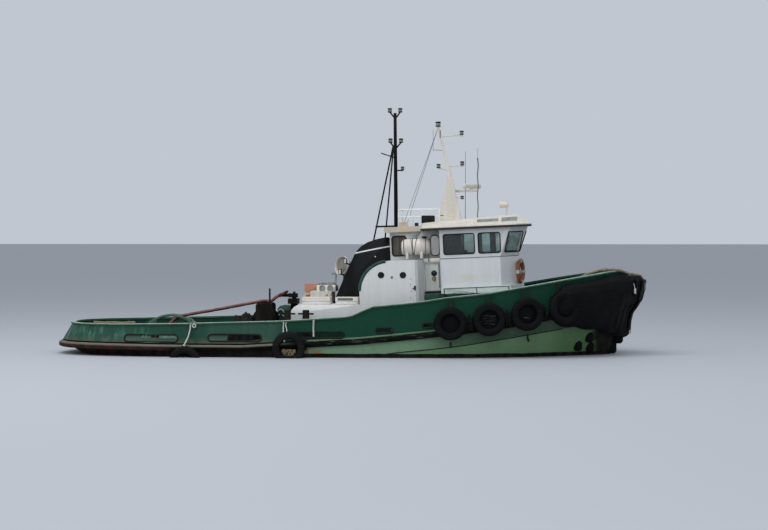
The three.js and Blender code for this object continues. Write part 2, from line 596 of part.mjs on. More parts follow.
const console = tiltHouse(join(
  box(4750, 5250, -1000, 1000, TRUNK.top + GAP, 3080),
  prismY([[4750, 3070], [5250, 3070], [5250, 3230], [5050, 3230]], -1000, 1000)));
const seat = tiltHouse(join(
  box(3900, 4300, 300, 800, 2720, 2860), box(3830, 3930, 300, 800, 2720, 3400),
  box(4050, 4170, 490, 610, TRUNK.top + GAP, 2740)));

const roofRing = (x0, x1, half, nose, taper, z0, z1) => nosePlan({ x0, x1, half, nose, cut: taper }, 0)
  .map(([x, y]) => new THREE.Vector3(x, y, z0 + (z1 - z0) * (x - x0) / (x1 - x0)));
const fasciaTop = ROOF.z0 + ROOF.fascia;
const SEARCH = { x: 5160, y: -350, z: 4980 };

// The roof from a foot at z0. raise lifts everything above the foot.
function roofBody(z0, raise) {
  const lip = fasciaTop + 15 + raise;
  return tiltHouse(solid(loft([
    roofRing(ROOF.x0, ROOF.x1, ROOF.half, ROOF.nose, ROOF.cut, z0, z0),
    roofRing(ROOF.x0, ROOF.x1, ROOF.half, ROOF.nose, ROOF.cut, fasciaTop + raise, fasciaTop + raise),
    roofRing(ROOF.x0 + 60, ROOF.x1 - 40, ROOF.half - 60, ROOF.nose - 30, ROOF.cut, lip, lip),
    roofRing(ROOF.topX0, ROOF.topX1, ROOF.topHalf, ROOF.topHalf - 300, 300,
      ROOF.topAft + raise, ROOF.topFore + raise)])));
}

const searchPost = rod([SEARCH.x, SEARCH.y, 4500], [SEARCH.x, SEARCH.y, SEARCH.z], 28, 8);
const roof = join(searchPost, roofBody(ROOF.z0, 0));

const upperWindows = bothSides(
  prismY(roundedBox(UPPER_WINDOW.x0, UPPER_WINDOW.x1, UPPER_WINDOW.z0, UPPER_WINDOW.z1, 90), 1000, 1500));
const upperHouse = tiltHouse(cut(
  join(
    box(UPPER.x0, UPPER.x1, -UPPER.half, UPPER.half, PASSAGE.top + GAP, UPPER.top),
    box(UPPER.plateX0, ROOF.x0 - GAP, -UPPER.half - 40, UPPER.half + 40, UPPER.top - 10, UPPER.top + 170),
    box(1650, 1930, -400, -100, UPPER.top + 100, UPPER.top + 330)),
  box(UPPER.x0 + PLATE, UPPER.x1 + 100, -UPPER.half + PLATE, UPPER.half - PLATE, 3000, UPPER.top - PLATE),
  upperWindows));

// Funnel, masts and what they carry

const houseTool = tiltHouse(houseFull(-GAP, -500));
const upperTool = tiltHouse(box(UPPER.x0 - GAP, UPPER.x1, -UPPER.half - GAP, UPPER.half + GAP,
  3000, UPPER.top + GAP));
const upperCapTool = tiltHouse(box(UPPER.plateX0 - GAP, ROOF.x0, -UPPER.half - 41, UPPER.half + 41,
  UPPER.top - 10 - GAP, UPPER.top + 170 + GAP));
const floodlight = (x, z) => join(
  bar([[x + 330, -380, z - 160], [x, -380, z]], 30, 6),
  box(x - 60, x + 40, -500, -260, z - 40, z + 150));
const funnelBody = cut(prismY(FUNNEL, -FUNNEL_HALF, FUNNEL_HALF), houseTool, upperTool, upperCapTool);
const funnel = cut(join(funnelBody, floodlight(-390, 3130), floodlight(-580, 2760)), casingTool);
const funnelTool = prismY(FUNNEL.map(([x, z]) => [x, z + GAP]), -FUNNEL_HALF - 1, FUNNEL_HALF + 1);

const AFT_MAST = { x: 1330, foot: 4180, top: 8320 };
// Lanterns on forked arms, as x and z of each one's foot
const LANTERNS_AFT = [[1110, 8340], [1470, 8340], [1130, 7290], [1500, 7290]];
const lamp = (x, y, z, r = 55, h = 150) => rod([x, y, z], [x, y, z + h], r, 6);
const aftMastBars = join(
  rod([AFT_MAST.x, 0, AFT_MAST.foot], [AFT_MAST.x - 40, 0, AFT_MAST.top], 75, 10, 55),
  rod([460, 550, 3700], [1230, 0, 7200], 28, 6), rod([970, -550, 3800], [1240, 0, 7200], 28, 6),
  rod([640, 0, 4380], [1330, 0, 4400], 30, 6), rod([660, -470, 4380], [660, 470, 4380], 26, 6),
  LANTERNS_AFT.flatMap(([x, z]) => [rod([1300, 0, z - 220], [x, 0, z + 10], 26, 6), lamp(x, 0, z)]),
  rod([1300, 0, 6330], [1580, 0, 6330], 24, 6), rod([800, 0, 6930], [1260, 0, 6780], 20, 6),
  lamp(1550, 0, 6340, 45, 110));
const aftMast = cut(aftMastBars, funnelTool, upperTool, upperCapTool, houseTool);

const roofTool = roofBody(ROOF.z0 - 500, GAP);

const mastRing = (x0, x1, half, z) => [[x0, -half], [x1, -half], [x1, half], [x0, half]]
  .map(([x, y]) => new THREE.Vector3(x, y, z));
const RADAR = { x: 3950, z: 5665, yaw: 60 * RAD };
const foreMastBars = join(
  solid(loft([mastRing(2700, 3700, 200, 4300), mastRing(2950, 3420, 150, 5350),
    mastRing(3070, 3350, 100, 5850), mastRing(3110, 3240, 60, 6250), mastRing(2740, 2830, 40, 7850)])),
  lamp(2785, 0, 7840, 50, 190),
  rod([2870, 0, 7490], [3640, 0, 7560], 22, 6), lamp(3600, 0, 7500, 50, 140),
  rod([3110, 0, 6460], [3660, 0, 6500], 22, 6), lamp(3620, 0, 6440, 50, 130),
  rod([3120, 0, 6340], [2780, 0, 6410], 20, 6), lamp(2800, 0, 6390, 50, 120),
  prismY([[3200, 5560], [4180, 5590], [4180, 5655], [3200, 5660]], -60, 60),
  rod([RADAR.x, 0, 5580], [RADAR.x, 0, RADAR.z], 90, 12),
  lamp(3620, 0, 5330, 45, 100), rod([3300, 0, 5380], [3640, 0, 5380], 18, 6));
const foreMast = cut(foreMastBars, roofTool);

const radar = join(
  rod([0, 0, GAP], [0, 0, 60], 60, 12),
  box(-550, 550, -60, 60, 35, 195).rotate([0, 0, RADAR.yaw / RAD]))
  .translate([RADAR.x, 0, RADAR.z]);

const searchlight = join(
  rod([0, 0, GAP], [0, 0, 110], 24, 8), rod([-230, 0, 150], [60, 0, 150], 110, 12, 60))
  .translate([SEARCH.x, SEARCH.y, SEARCH.z]);

const RAILING = { x0: 1480, x1: 2880, half: 1100 };
const railLevels = [4700, 4960];
const railCorners = (z) => [[RAILING.x1, -RAILING.half, z + 40], [RAILING.x0, -RAILING.half, z],
  [RAILING.x0, RAILING.half, z], [RAILING.x1, RAILING.half, z + 40]];
const railPosts = [RAILING.x0, 1850, 2300, RAILING.x1].flatMap((x) => [-1, 1].map((s) => rod(
  [x, s * RAILING.half, 4200], [x, s * RAILING.half, 4960 + (x - RAILING.x0) * 0.028], 18, 6)));
const topRailing = cut(join(railLevels.map((z) => bar(railCorners(z), 18, 6)), railPosts),
  upperCapTool, upperTool, roofTool);

// Rafts, rings, vents and lockers

const RAFT = { x0: 1790, x1: 2770, y: 1760, z: 3590, r: 275 };
const raftEnds = RAFT.r * 0.72;
const raftBody = join(
  rod([RAFT.x0 + 110, RAFT.y, RAFT.z], [RAFT.x1 - 110, RAFT.y, RAFT.z], RAFT.r, 14),
  rod([RAFT.x0 + 110, RAFT.y, RAFT.z], [RAFT.x0, RAFT.y, RAFT.z], RAFT.r, 14, raftEnds),
  rod([RAFT.x1 - 110, RAFT.y, RAFT.z], [RAFT.x1, RAFT.y, RAFT.z], RAFT.r, 14, raftEnds));
const raftCradle = [RAFT.x0 + 150, RAFT.x1 - 350].map((x) => box(
  x, x + 90, RAFT.y - 230, RAFT.y + 230, PASSAGE.top + GAP, RAFT.z - 120));
const passageTop = box(PASSAGE.x0, PASSAGE.x1, -PASSAGE.half, PASSAGE.half, 3000, PASSAGE.top + GAP);
const raft = tiltHouse(cut(join(raftBody, raftCradle), passageTop));

// The life rings hang across the wheelhouse's forward corners
const RING = { out: 410, tube: 62, turn: 14, z: 2600 };
const ringGeometry = new THREE.TorusGeometry(RING.out - RING.tube, RING.tube, 6, 14);
ringGeometry.rotateY(Math.PI / 2);
const ringFlat = solid(ringGeometry).translate([RING.tube * Math.cos(30 * RAD) + GAP, 0, 0]);
const lifeRing = tiltHouse(
  ringFlat.rotate([0, 0, RING.turn]).translate([WHEELHOUSE.x1, WHEELHOUSE.nose, RING.z]));

const under = CASING.top - 300;
const cabinet = cut(join(
  box(-1600, -850, -600, 600, under, 2150), box(-1390, -740, -520, 520, 2140, 2360),
  prismY([[-1370, 2350], [-760, 2350], [-840, 2430], [-1290, 2430]], -480, 480),
  bar([[-780, -300, 2200], [-740, -300, 2700], [-790, -300, 2770], [-890, -300, 2745]], 32, 8)), casingTool);
const cowl = cut(join(
  rod([-520, 1500, under], [-520, 1500, 2900], 150, 12),
  rod([-480, 1580, 2960], [-660, 1380, 3000], 200, 14, 330)), casingTool);
const crate = cut(join(box(-1900, -1640, 250, 800, under, 2080), box(-1900, -1420, 250, 800, 2070, 2390)),
  box(-1600 - GAP, -850, -600, 600 + GAP, under, 2150 + GAP),
  box(-1390 - GAP, -850, -520, 520 + GAP, 2140, 2400), casingTool);

// Towing gear and deck fittings

const TOW = { x: -2230, z: 1990, seat: 1880 };
const deckAt = (x) => lookup(DECK, x);
const towPost = cut(join(
  box(-2330, -2130, -260, 260, 400, TOW.seat), box(-2420, -2080, -330, 330, 1700, TOW.seat),
  rod([TOW.x, 0, TOW.seat - 10], [TOW.x, 0, 2120], 45, 10)), hullTool, casingTool);
const hookPlate = prismZ([[-190, -120], [90, -120], [130, 0], [90, 120], [-190, 120]], -70, 70);
const hookCollar = rod([0, 0, TOW.seat + GAP - TOW.z], [0, 0, 0], 80, 12);
const hookCurl = bar([[-150, 0, 0], [-330, 0, 0], [-430, 60, 0], [-430, 150, 0], [-340, 200, 0]], 55, 8);
const towHook = cut(join(hookPlate, hookCollar, hookCurl), rod([0, 0, -200], [0, 0, 200], 48, 10))
  .translate([TOW.x, 0, TOW.z]);

const WINCH = { x: -3230, z: 1160 };
const winchSide = [[-3520, 600], [-2940, 600], [-2940, 1660], [-3000, 1730], [-3460, 1730], [-3520, 1660]];
const winchFrame = cut(join(
  box(-3560, -2900, -520, 520, 400, 640),
  [-1, 1].map((s) => prismY(winchSide, s * 470 - 35, s * 470 + 35)),
  rod([-3380, -480, 1690], [-3380, 480, 1690], 40, 8), rod([-3080, -480, 1690], [-3080, 480, 1690], 40, 8),
  rod([-3030, -470, 1700], [-3030, -470, 2240], 32, 8)), hullTool,
  rod([WINCH.x, -600, WINCH.z], [WINCH.x, 600, WINCH.z], 62.3, 14));
const drumProfile = [[0, -540], [60, -540], [60, -425], [420, -425], [420, -385], [210, -385], [210, 385],
  [420, 385], [420, 425], [60, 425], [60, 540], [0, 540]];
const drumGeometry = turned(drumProfile, 18);
drumGeometry.rotateX(Math.PI / 2);
const winchDrum = solid(drumGeometry).translate([WINCH.x, 0, WINCH.z]);

const companion = cut(prismY(roundedBox(-2960, -2420, 100, 1600, 200), 1000, 1700), hullTool);

// Guard hoops over the steering gear hatch
const HOOP = { x: -6520, half: 1000, rise: 830, y: 300 };
function hoop(y) {
  const points = [];
  for (let i = 0; i <= 10; i += 1) {
    const t = Math.PI * i / 10;
    points.push([HOOP.x - HOOP.half * Math.cos(t), y, deckAt(HOOP.x) + HOOP.rise * Math.sin(t)]);
  }
  return bar(points, 45, 5);
}
const gearHatch = box(HOOP.x - 420, HOOP.x + 420, -HOOP.y - 30, HOOP.y + 30, 400, 720);
const hoopTies = [-1, 1].map((s) => {
  const [x, z] = [HOOP.x + s * 400, deckAt(HOOP.x) + 720];
  return rod([x, -HOOP.y, z], [x, HOOP.y, z], 40, 6);
});
const hoopFeet = [-1, 1].map((s) => box(
  HOOP.x - HOOP.half - 60, HOOP.x + HOOP.half + 60, s * HOOP.y - 60, s * HOOP.y + 60, 400, 500));
const hoops = cut(join(hoop(-HOOP.y), hoop(HOOP.y), gearHatch, hoopTies, hoopFeet), hullTool);

const BITT = { r: 115, y: 2700, xs: [-2140, -1520], head: 1580 };
const bitts = cut(join(
  box(-2340, -1320, BITT.y - 160, BITT.y + 160, 400, 640),
  BITT.xs.map((x) => join(
    rod([x, BITT.y, 500], [x, BITT.y, BITT.head], BITT.r, 12),
    rod([x - 260, BITT.y, 1450], [x + 260, BITT.y, 1450], 28, 8)))), hullTool);

const bowBitt = cut(join(
  box(6950, 7450, -500, 500, 1400, 1720),
  [-1, 1].map((s) => rod([7200, s * 330, 1600], [7200, s * 330, 2500], 120, 12)),
  rod([7200, -560, 2250], [7200, 560, 2250], 75, 10)), hullTool);

// The scene

const group = new THREE.Group();
group.name = 'harbour_tug';

const PAINT = {
  green: { color: 0x14402c, roughness: 0.6, metalness: 0 },
  capGreen: { color: 0x8fa596, roughness: 0.7, metalness: 0 },
  bottom: { color: 0x3b241c, roughness: 0.8, metalness: 0 },
  rust: { color: 0x4a2a20, roughness: 0.8, metalness: 0.2 },
  white: { color: 0xb5bcc0, roughness: 0.5, metalness: 0 },
  cream: { color: 0xd8d0c4, roughness: 0.6, metalness: 0 },
  black: { color: 0x101114, roughness: 0.7, metalness: 0 },
  rubber: { color: 0x151517, roughness: 0.9, metalness: 0 },
  glass: { color: 0x40484a, roughness: 0.1, metalness: 0 },
  bronze: { color: 0x8a6a3a, roughness: 0.4, metalness: 1 },
  orange: { color: 0x9a4a30, roughness: 0.7, metalness: 0 },
};

function node(name, body, paint) {
  const { vertProperties, triVerts } = body.getMesh();
  const geometry = new THREE.BufferGeometry();
  geometry.setAttribute('position', new THREE.BufferAttribute(new Float32Array(vertProperties), 3));
  geometry.setIndex(new THREE.BufferAttribute(new Uint32Array(triVerts), 1));
  geometry.computeVertexNormals();
  const mesh = new THREE.Mesh(geometry, new THREE.MeshStandardMaterial(PAINT[paint]));
  mesh.name = name;
  group.add(mesh);
}

function pair(name, portBody, paint) {
  node(`${name}_port`, portBody, paint);
  node(`${name}_stbd`, mirror(portBody), paint);
}

node('hull', hull, 'green');
node('keel', keel, 'bottom');
node('engine', engine, 'green');
node('rudder', rudder, 'bottom');
node('propeller', propeller, 'bronze');
node('rubbing_strake', strake, 'rust');
node('bulwark_stern', bulwarkStern, 'green');
pair('bulwark_aft', bulwarkAft, 'green');
pair('bulwark_fore', bulwarkFore, 'green');
node('bulwark_bow', bulwarkBow, 'green');
node('cap_rail', capRail, 'capGreen');
node('bow_fender', bowFender, 'rubber');
pair('tyres_forward', tyresForward, 'rubber');
pair('tyre_mid', tyreMid, 'rubber');
pair('tyre_aft', tyreAft, 'rubber');
node('engine_casing', casing, 'white');
node('skylight_lid', skylightLid, 'cream');
node('manhole_lid', manholeLid, 'cream');
node('deckhouse', aftHouse, 'white');
node('passage_house', passage, 'white');
pair('side_hatch', tiltHouse(hatchPort), 'cream');
node('forward_trunk', trunk, 'green');
node('wheelhouse_walls', lowerWalls, 'white');
node('wheelhouse_windows', windowBand, 'white');
node('wheelhouse_glass', glass, 'glass');
node('wheelhouse_roof', roof, 'cream');
node('helm_console', console, 'black');
node('helm_seat', seat, 'black');
node('upper_house', upperHouse, 'white');
node('funnel', funnel, 'black');
node('aft_mast', aftMast, 'black');
node('fore_mast', foreMast, 'cream');
node('radar', radar, 'cream');
node('searchlight', searchlight, 'cream');
node('top_railing', topRailing, 'white');
pair('life_raft', raft, 'white');
pair('life_ring', lifeRing, 'orange');
node('vent_cabinet', cabinet, 'white');
node('cowl_vent', cowl, 'cream');
node('gear_crate', crate, 'orange');
node('tow_post', towPost, 'black');
node('tow_hook', towHook, 'black');
node('winch_frame', winchFrame, 'black');
node('winch_drum', winchDrum, 'black');
node('companion', companion, 'green');
node('guard_hoops', hoops, 'green');
pair('bitts', bitts, 'black');
node('bow_bitt', bowBitt, 'black');

export default group;
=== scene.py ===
# A small harbour tug afloat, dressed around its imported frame. Metres, +X to the bow, +Y to port, +Z up.
import math

import bmesh
import bpy
import numpy as np
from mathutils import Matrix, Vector
from mathutils.bvhtree import BVHTree


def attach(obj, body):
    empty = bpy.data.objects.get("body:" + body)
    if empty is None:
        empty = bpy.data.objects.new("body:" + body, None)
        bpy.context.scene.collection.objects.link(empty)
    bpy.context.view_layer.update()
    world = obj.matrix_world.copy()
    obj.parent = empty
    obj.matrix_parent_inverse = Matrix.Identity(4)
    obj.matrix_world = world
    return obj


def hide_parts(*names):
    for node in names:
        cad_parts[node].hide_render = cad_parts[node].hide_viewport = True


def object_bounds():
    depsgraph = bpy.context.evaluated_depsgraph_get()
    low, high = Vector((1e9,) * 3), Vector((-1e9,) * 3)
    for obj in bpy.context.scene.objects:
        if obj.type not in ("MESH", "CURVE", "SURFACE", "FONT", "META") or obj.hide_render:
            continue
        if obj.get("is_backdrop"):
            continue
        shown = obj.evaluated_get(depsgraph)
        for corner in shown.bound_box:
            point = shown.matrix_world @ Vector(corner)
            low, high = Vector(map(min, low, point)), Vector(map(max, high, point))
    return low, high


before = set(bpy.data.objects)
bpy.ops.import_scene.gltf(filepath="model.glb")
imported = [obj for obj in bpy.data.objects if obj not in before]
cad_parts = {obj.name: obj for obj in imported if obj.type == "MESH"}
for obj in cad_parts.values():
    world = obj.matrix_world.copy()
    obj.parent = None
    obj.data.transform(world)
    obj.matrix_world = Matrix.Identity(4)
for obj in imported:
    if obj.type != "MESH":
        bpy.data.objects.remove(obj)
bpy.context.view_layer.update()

# The view. The camera stands off the starboard side, a little towards the bow, at eye height above
# the water. The floor lies at the waterline, pale and plain, under a soft grey sky.
FOCAL = 2100.0
PICTURE_WIDTH = 768.0
SENSOR = 36.0
CAMERA_PLACE = (6.362, -72.722, 4.23)
CAMERA_PITCH, CAMERA_TURN = 89.072, 4.291
camera = bpy.data.objects.new("camera", bpy.data.cameras.new("camera"))
camera.data.sensor_width = SENSOR
camera.data.lens = SENSOR * FOCAL / PICTURE_WIDTH
camera.data.clip_end = 2000.0
camera.location = CAMERA_PLACE
camera.rotation_euler = (math.radians(CAMERA_PITCH), 0.0, math.radians(CAMERA_TURN))
bpy.context.scene.collection.objects.link(camera)
bpy.context.scene.camera = camera
bpy.context.scene.view_settings.view_transform = "Standard"

SKY_COLOUR = (0.53, 0.57, 0.63, 1.0)
world = bpy.data.worlds.new("sky")
world.use_nodes = True
world.node_tree.nodes["Background"].inputs["Color"].default_value = SKY_COLOUR
world.node_tree.nodes["Background"].inputs["Strength"].default_value = 1.0
bpy.context.scene.world = world


def soft_light(name, place, size, power):
    """An area light of a given size at a place, turned to the middle of the boat."""
    data = bpy.data.lights.new(name, "AREA")
    data.size = size
    data.energy = power
    light = bpy.data.objects.new(name, data)
    light.location = place
    light.rotation_euler = (-Vector(place)).to_track_quat("-Z", "Y").to_euler()
    bpy.context.scene.collection.objects.link(light)


soft_light("overhead", (-6.0, -12.0, 42.0), 36.0, 9000.0)
soft_light("from_astern", (-34.0, -26.0, 20.0), 22.0, 2600.0)
soft_light("from_the_quay", (4.0, -58.0, 30.0), 44.0, 8600.0)

FLOOR_HALF = 600.0
FLOOR_GREY = (0.43, 0.45, 0.48, 1)
floor_mesh = bpy.data.meshes.new("floor")
floor_mesh.from_pydata([(-FLOOR_HALF, -FLOOR_HALF, 0), (FLOOR_HALF, -FLOOR_HALF, 0),
                        (FLOOR_HALF, FLOOR_HALF, 0), (-FLOOR_HALF, FLOOR_HALF, 0)], [], [(0, 1, 2, 3)])
floor = bpy.data.objects.new("floor", floor_mesh)
bpy.context.scene.collection.objects.link(floor)
floor_look = bpy.data.materials.new("floor")
floor_look.use_nodes = True
floor_look.node_tree.nodes["Principled BSDF"].inputs["Base Color"].default_value = FLOOR_GREY
floor_look.node_tree.nodes["Principled BSDF"].inputs["Roughness"].default_value = 0.7
floor_mesh.materials.append(floor_look)
floor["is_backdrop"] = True

# The hull. Welded steel plate on frames, dark green above the strake, light green on the lower
# side forward, darkened towards the bow with painted shade, brown-black aft and at the water, and
# red-brown below it. The deck is painted green.


def rgb(code):
    """A six-digit colour code as linear red, green, blue and 1."""
    parts = np.array([int(code[i:i + 2], 16) for i in (0, 2, 4)]) / 255
    linear = np.where(parts <= 0.04045, parts / 12.92, ((parts + 0.055) / 1.055) ** 2.4)
    return (*linear.tolist(), 1.0)


class Nodes:
    """Adds shader nodes to a tree. An input is a number, a colour code or another node's socket."""

    def __init__(self, tree):
        self.tree = tree

    def give(self, value, socket):
        """Links or sets one input."""
        if isinstance(value, bpy.types.NodeSocket):
            self.tree.links.new(value, socket)
        else:
            socket.default_value = rgb(value) if isinstance(value, str) else value

    def add(self, kind, inputs=None, **settings):
        """A node of a kind, with its settings and inputs."""
        node = self.tree.nodes.new("ShaderNode" + kind)
        for key, value in settings.items():
            setattr(node, key, value)
        for key, value in (inputs or {}).items():
            self.give(value, node.inputs[key])
        return node

    def maths(self, operation, a, b=0.0):
        """One operation on two numbers."""
        return self.add("Math", {0: a, 1: b}, operation=operation).outputs[0]

    def plus(self, a, b):
        """The sum."""
        return self.maths("ADD", a, b)

    def minus(self, a, b):
        """a less b."""
        return self.maths("SUBTRACT", a, b)

    def times(self, a, *others):
        """The product of all."""
        for b in others:
            a = self.maths("MULTIPLY", a, b)
        return a

    def ramp(self, value, low, high, out_low=0.0, out_high=1.0):
        """value carried smoothly from low and high to out_low and out_high."""
        ends = {"Value": value, "From Min": low, "From Max": high, "To Min": out_low, "To Max": out_high}
        return self.add("MapRange", ends, interpolation_type="SMOOTHSTEP").outputs["Result"]

    def mixed(self, factor, a, b):
        """Colour a where factor is 0 and colour b where it is 1."""
        return self.add("Mix", {0: factor, 6: a, 7: b}, data_type="RGBA").outputs[2]

    def point(self):
        """Object coordinates."""
        return self.add("TexCoord").outputs["Object"]

    def place(self):
        """Object coordinates as three numbers."""
        return self.add("SeparateXYZ", {0: self.point()}).outputs

    def upward(self):
        """1 where a face looks up, 0 where it is upright."""
        return self.add("SeparateXYZ", {0: self.add("NewGeometry").outputs["Normal"]}).outputs["Z"]

    def noise(self, scale, detail=4.0, rough=0.55, stretch=None, shift=0.0):
        """Smooth noise, 0 to 1, with features 1 / scale metres across, on stretched coordinates."""
        at = self.point()
        if stretch:
            moved = {"Vector": at, "Scale": stretch, "Location": (shift, shift, 0)}
            at = self.add("Mapping", moved).outputs[0]
        inputs = {"Vector": at, "Scale": scale, "Detail": detail, "Roughness": rough}
        return self.add("TexNoise", inputs).outputs["Fac"]


# Worn paint: vertical streaks and blotches fade it, and rust breaks through in spots and drips.
RUST = "5a3420"
worn_group = bpy.data.node_groups.new("worn_paint", "ShaderNodeTree")
for label, value in (("Paint", rgb("808080")), ("Faded", rgb("a0a0a0")), ("Fade", 0.3), ("Rust", 0.2),
                     ("Gloss", 0.45), ("Grain", 0.1)):
    kind = "NodeSocketColor" if isinstance(value, tuple) else "NodeSocketFloat"
    worn_group.interface.new_socket(name=label, in_out="INPUT", socket_type=kind).default_value = value
for label, kind in (("Colour", "Color"), ("Roughness", "Float"), ("Height", "Float")):
    worn_group.interface.new_socket(name=label, in_out="OUTPUT", socket_type="NodeSocket" + kind)
n = Nodes(worn_group)
given = worn_group.nodes.new("NodeGroupInput").outputs
result = worn_group.nodes.new("NodeGroupOutput").inputs
streaks = n.noise(1.0, 5.0, stretch=(5.0, 5.0, 0.35))
blotches = n.noise(0.7, 6.0)
specks = n.noise(11.0)
drips = n.noise(1.0, 3.0, stretch=(9.0, 9.0, 0.5), shift=3.0)
spots = n.noise(2.4, 8.0, 0.7, stretch=(1.0, 1.0, 1.0), shift=7.0)
cloudy = n.plus(n.times(streaks, 0.6), n.times(blotches, 0.4))
fading = n.times(n.ramp(cloudy, 0.38, 0.6), given["Fade"])
spot_edge = n.minus(0.74, n.times(given["Rust"], 0.22))
spot_mask = n.ramp(spots, spot_edge, n.plus(spot_edge, 0.07))
drip_mask = n.times(n.ramp(drips, 0.56, 0.74), given["Rust"])
rusting = n.maths("MAXIMUM", spot_mask, n.times(drip_mask, 0.7))
grain = n.times(n.ramp(specks, 0.2, 0.8, -0.5, 0.5), given["Grain"])
faded_paint = n.mixed(fading, given["Paint"], given["Faded"])
tone = n.add("HueSaturation", {"Value": n.plus(grain, 1.0), "Color": faded_paint}).outputs["Color"]
n.give(n.mixed(rusting, tone, RUST), result["Colour"])
n.give(n.plus(n.plus(given["Gloss"], n.times(fading, 0.15)), n.times(rusting, 0.3)), result["Roughness"])
n.give(n.plus(n.times(specks, 0.25), n.times(rusting, 0.6)), result["Height"])


def worn(name, paint, faded, fade=0.3, rust=0.2, gloss=0.42, bump=0.006, metallic=0.0, shine=0.3,
         grain=0.08, zones=None):
    """A worn paint of two colours. zones(nodes) may give other values for Paint, Faded, Fade and Rust."""
    material = bpy.data.materials.new(name)
    material.use_nodes = True
    n = Nodes(material.node_tree)
    values = {"Paint": paint, "Faded": faded, "Fade": fade, "Rust": rust, "Gloss": gloss, "Grain": grain}
    values.update(zones(n) if zones else {})
    coat = material.node_tree.nodes.new("ShaderNodeGroup")
    coat.node_tree = worn_group
    for key, value in values.items():
        n.give(value, coat.inputs[key])
    shader = material.node_tree.nodes["Principled BSDF"]
    shader.inputs["Metallic"].default_value = metallic
    shader.inputs["Specular IOR Level"].default_value = shine
    relief = n.add("Bump", {"Height": coat.outputs["Height"], "Distance": bump, "Strength": 0.6})
    n.give(coat.outputs["Colour"], shader.inputs["Base Color"])
    n.give(coat.outputs["Roughness"], shader.inputs["Roughness"])
    n.give(relief.outputs[0], shader.inputs["Normal"])
    return material


MERGE_WITHIN = 2e-5


def merge(mesh, turn_out):
    """Joins points that lie in one place, and may turn the faces outward."""
    shape = bmesh.new()
    shape.from_mesh(mesh)
    bmesh.ops.remove_doubles(shape, verts=shape.verts, dist=MERGE_WITHIN)
    if turn_out:
        bmesh.ops.recalc_face_normals(shape, faces=shape.faces)
    shape.to_mesh(mesh)
    shape.free()


def finish_mesh(name, mesh, material, body, stands_for, crease):
    """Shades a mesh, puts it in the scene and lets it ride on a body."""
    mesh.shade_smooth()
    mesh.set_sharp_from_angle(angle=math.radians(crease))
    mesh.materials.clear()
    mesh.materials.append(material)
    made = bpy.data.objects.new(name, mesh)
    bpy.context.scene.collection.objects.link(made)
    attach(made, body)
    if stands_for:
        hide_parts(*stands_for)


def carried(node, material, body="boat", crease=32):
    """A CAD node as it is, in a merged copy whose shallow edges are shaded smooth."""
    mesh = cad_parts[node].data.copy()
    merge(mesh, False)
    finish_mesh(node + "_finish", mesh, material, body, [node], crease)


def hull_zones(n):
    """Paint by place: deck on top, light green low forward, dark aft, boot-top at the water. The seam
    between the greens rises as 0.1 + 0.0976 d + 0.0069 d squared, d metres forward of x = 1. Both
    greens darken forward with painted shade, and above the seam with some dirt as well."""
    x, y, z = n.place()
    height = n.plus(z, n.times(n.noise(1.3, 3.0), 0.05))
    forward = n.minus(x, 1.0)
    seam_height = n.plus(n.times(forward, 0.0976), 0.1)
    over_seam = n.minus(z, n.plus(seam_height, n.times(forward, forward, 0.0069)))
    # Painted shade: above the seam the green darkens forward, where the flare and the tyres shade it, with
    # some dirt too; below the seam it darkens past x = 6.3, where the flared bow faces down.
    upper = n.mixed(n.ramp(x, 1.6, 4.6), "6f8e70", "3c5140")
    lower = n.mixed(n.ramp(x, 6.3, 7.3), "62805e", "54734f")
    green = n.mixed(n.ramp(over_seam, -0.01, 0.01), lower, upper)
    side = n.mixed(n.ramp(x, -1.5, -1.36), "0f0706", green)
    patch = n.times(n.ramp(x, -1.75, -1.45), n.ramp(x, -0.7, -1.1), n.ramp(height, 0.3, 0.24))
    side = n.mixed(n.times(patch, n.ramp(n.noise(6.0), 0.44, 0.52)), side, "8a7148")
    side = n.mixed(n.ramp(n.plus(x, n.times(n.noise(2.0), 0.8)), 8.35, 8.75), side, "120c0b")
    side = n.mixed(n.ramp(height, 0.18, 0.15), side, "060505")
    side = n.mixed(n.ramp(height, 0.09, 0.06), side, "200e0c")
    paint = n.mixed(n.ramp(n.upward(), 0.6, 0.8), side, "1f3f30")
    return {"Paint": paint, "Faded": n.mixed(0.08, paint, "8c9484"),
            "Rust": n.ramp(x, -1.5, -1.2, 0.05, 0.18)}


hull_paint = worn("hull_side", "5d8062", "8c9484", fade=0.5, gloss=0.45, shine=0.08, grain=0.16,
                  zones=hull_zones)
carried("hull", hull_paint, crease=25)
bottom_paint = worn("bottom", "4a2219", "5d3a2c", fade=0.6, rust=0.5, gloss=0.7)
carried("keel", bottom_paint)

# Weld seam of the knuckle: a bead of steel along the lower side from the water to the bow fender,
# painted over dark, with tie plates welded on beside it.


def spline(points, count):
    """A smooth curve through points: cubic pieces, sloped at each by half the way between neighbours."""
    p = np.asarray(points, float)
    p = np.vstack([2 * p[0] - p[1], p, 2 * p[-1] - p[-2]])
    t = np.linspace(0, len(p) - 3 - 1e-9, count)
    i = t.astype(int)
    f = (t - i)[:, None]
    a, b, c, d = p[i], p[i + 1], p[i + 2], p[i + 3]
    return 0.5 * (2 * b + (c - a) * f + (2 * a - 5 * b + 4 * c - d) * f ** 2
                  + (3 * b - a - 3 * c + d) * f ** 3)


def grid_faces(rows, columns, wrap_rows=False, wrap_columns=True):
    """Four-cornered faces over a grid of points, row by row."""
    r = np.arange(rows if wrap_rows else rows - 1)[:, None]
    c = np.arange(columns if wrap_columns else columns - 1)[None]
    r2, c2 = (r + 1) % rows, (c + 1) % columns
    corners = [r * columns + c, r * columns + c2, r2 * columns + c2, r2 * columns + c]
    return np.stack(corners, -1).reshape(-1, 4)


def capped(rows, columns):
    """Faces over rings of points, with a cap on the first ring and on the last."""
    cap = np.arange(columns)[None]
    return [grid_faces(rows, columns), cap[:, ::-1], cap + (rows - 1) * columns]


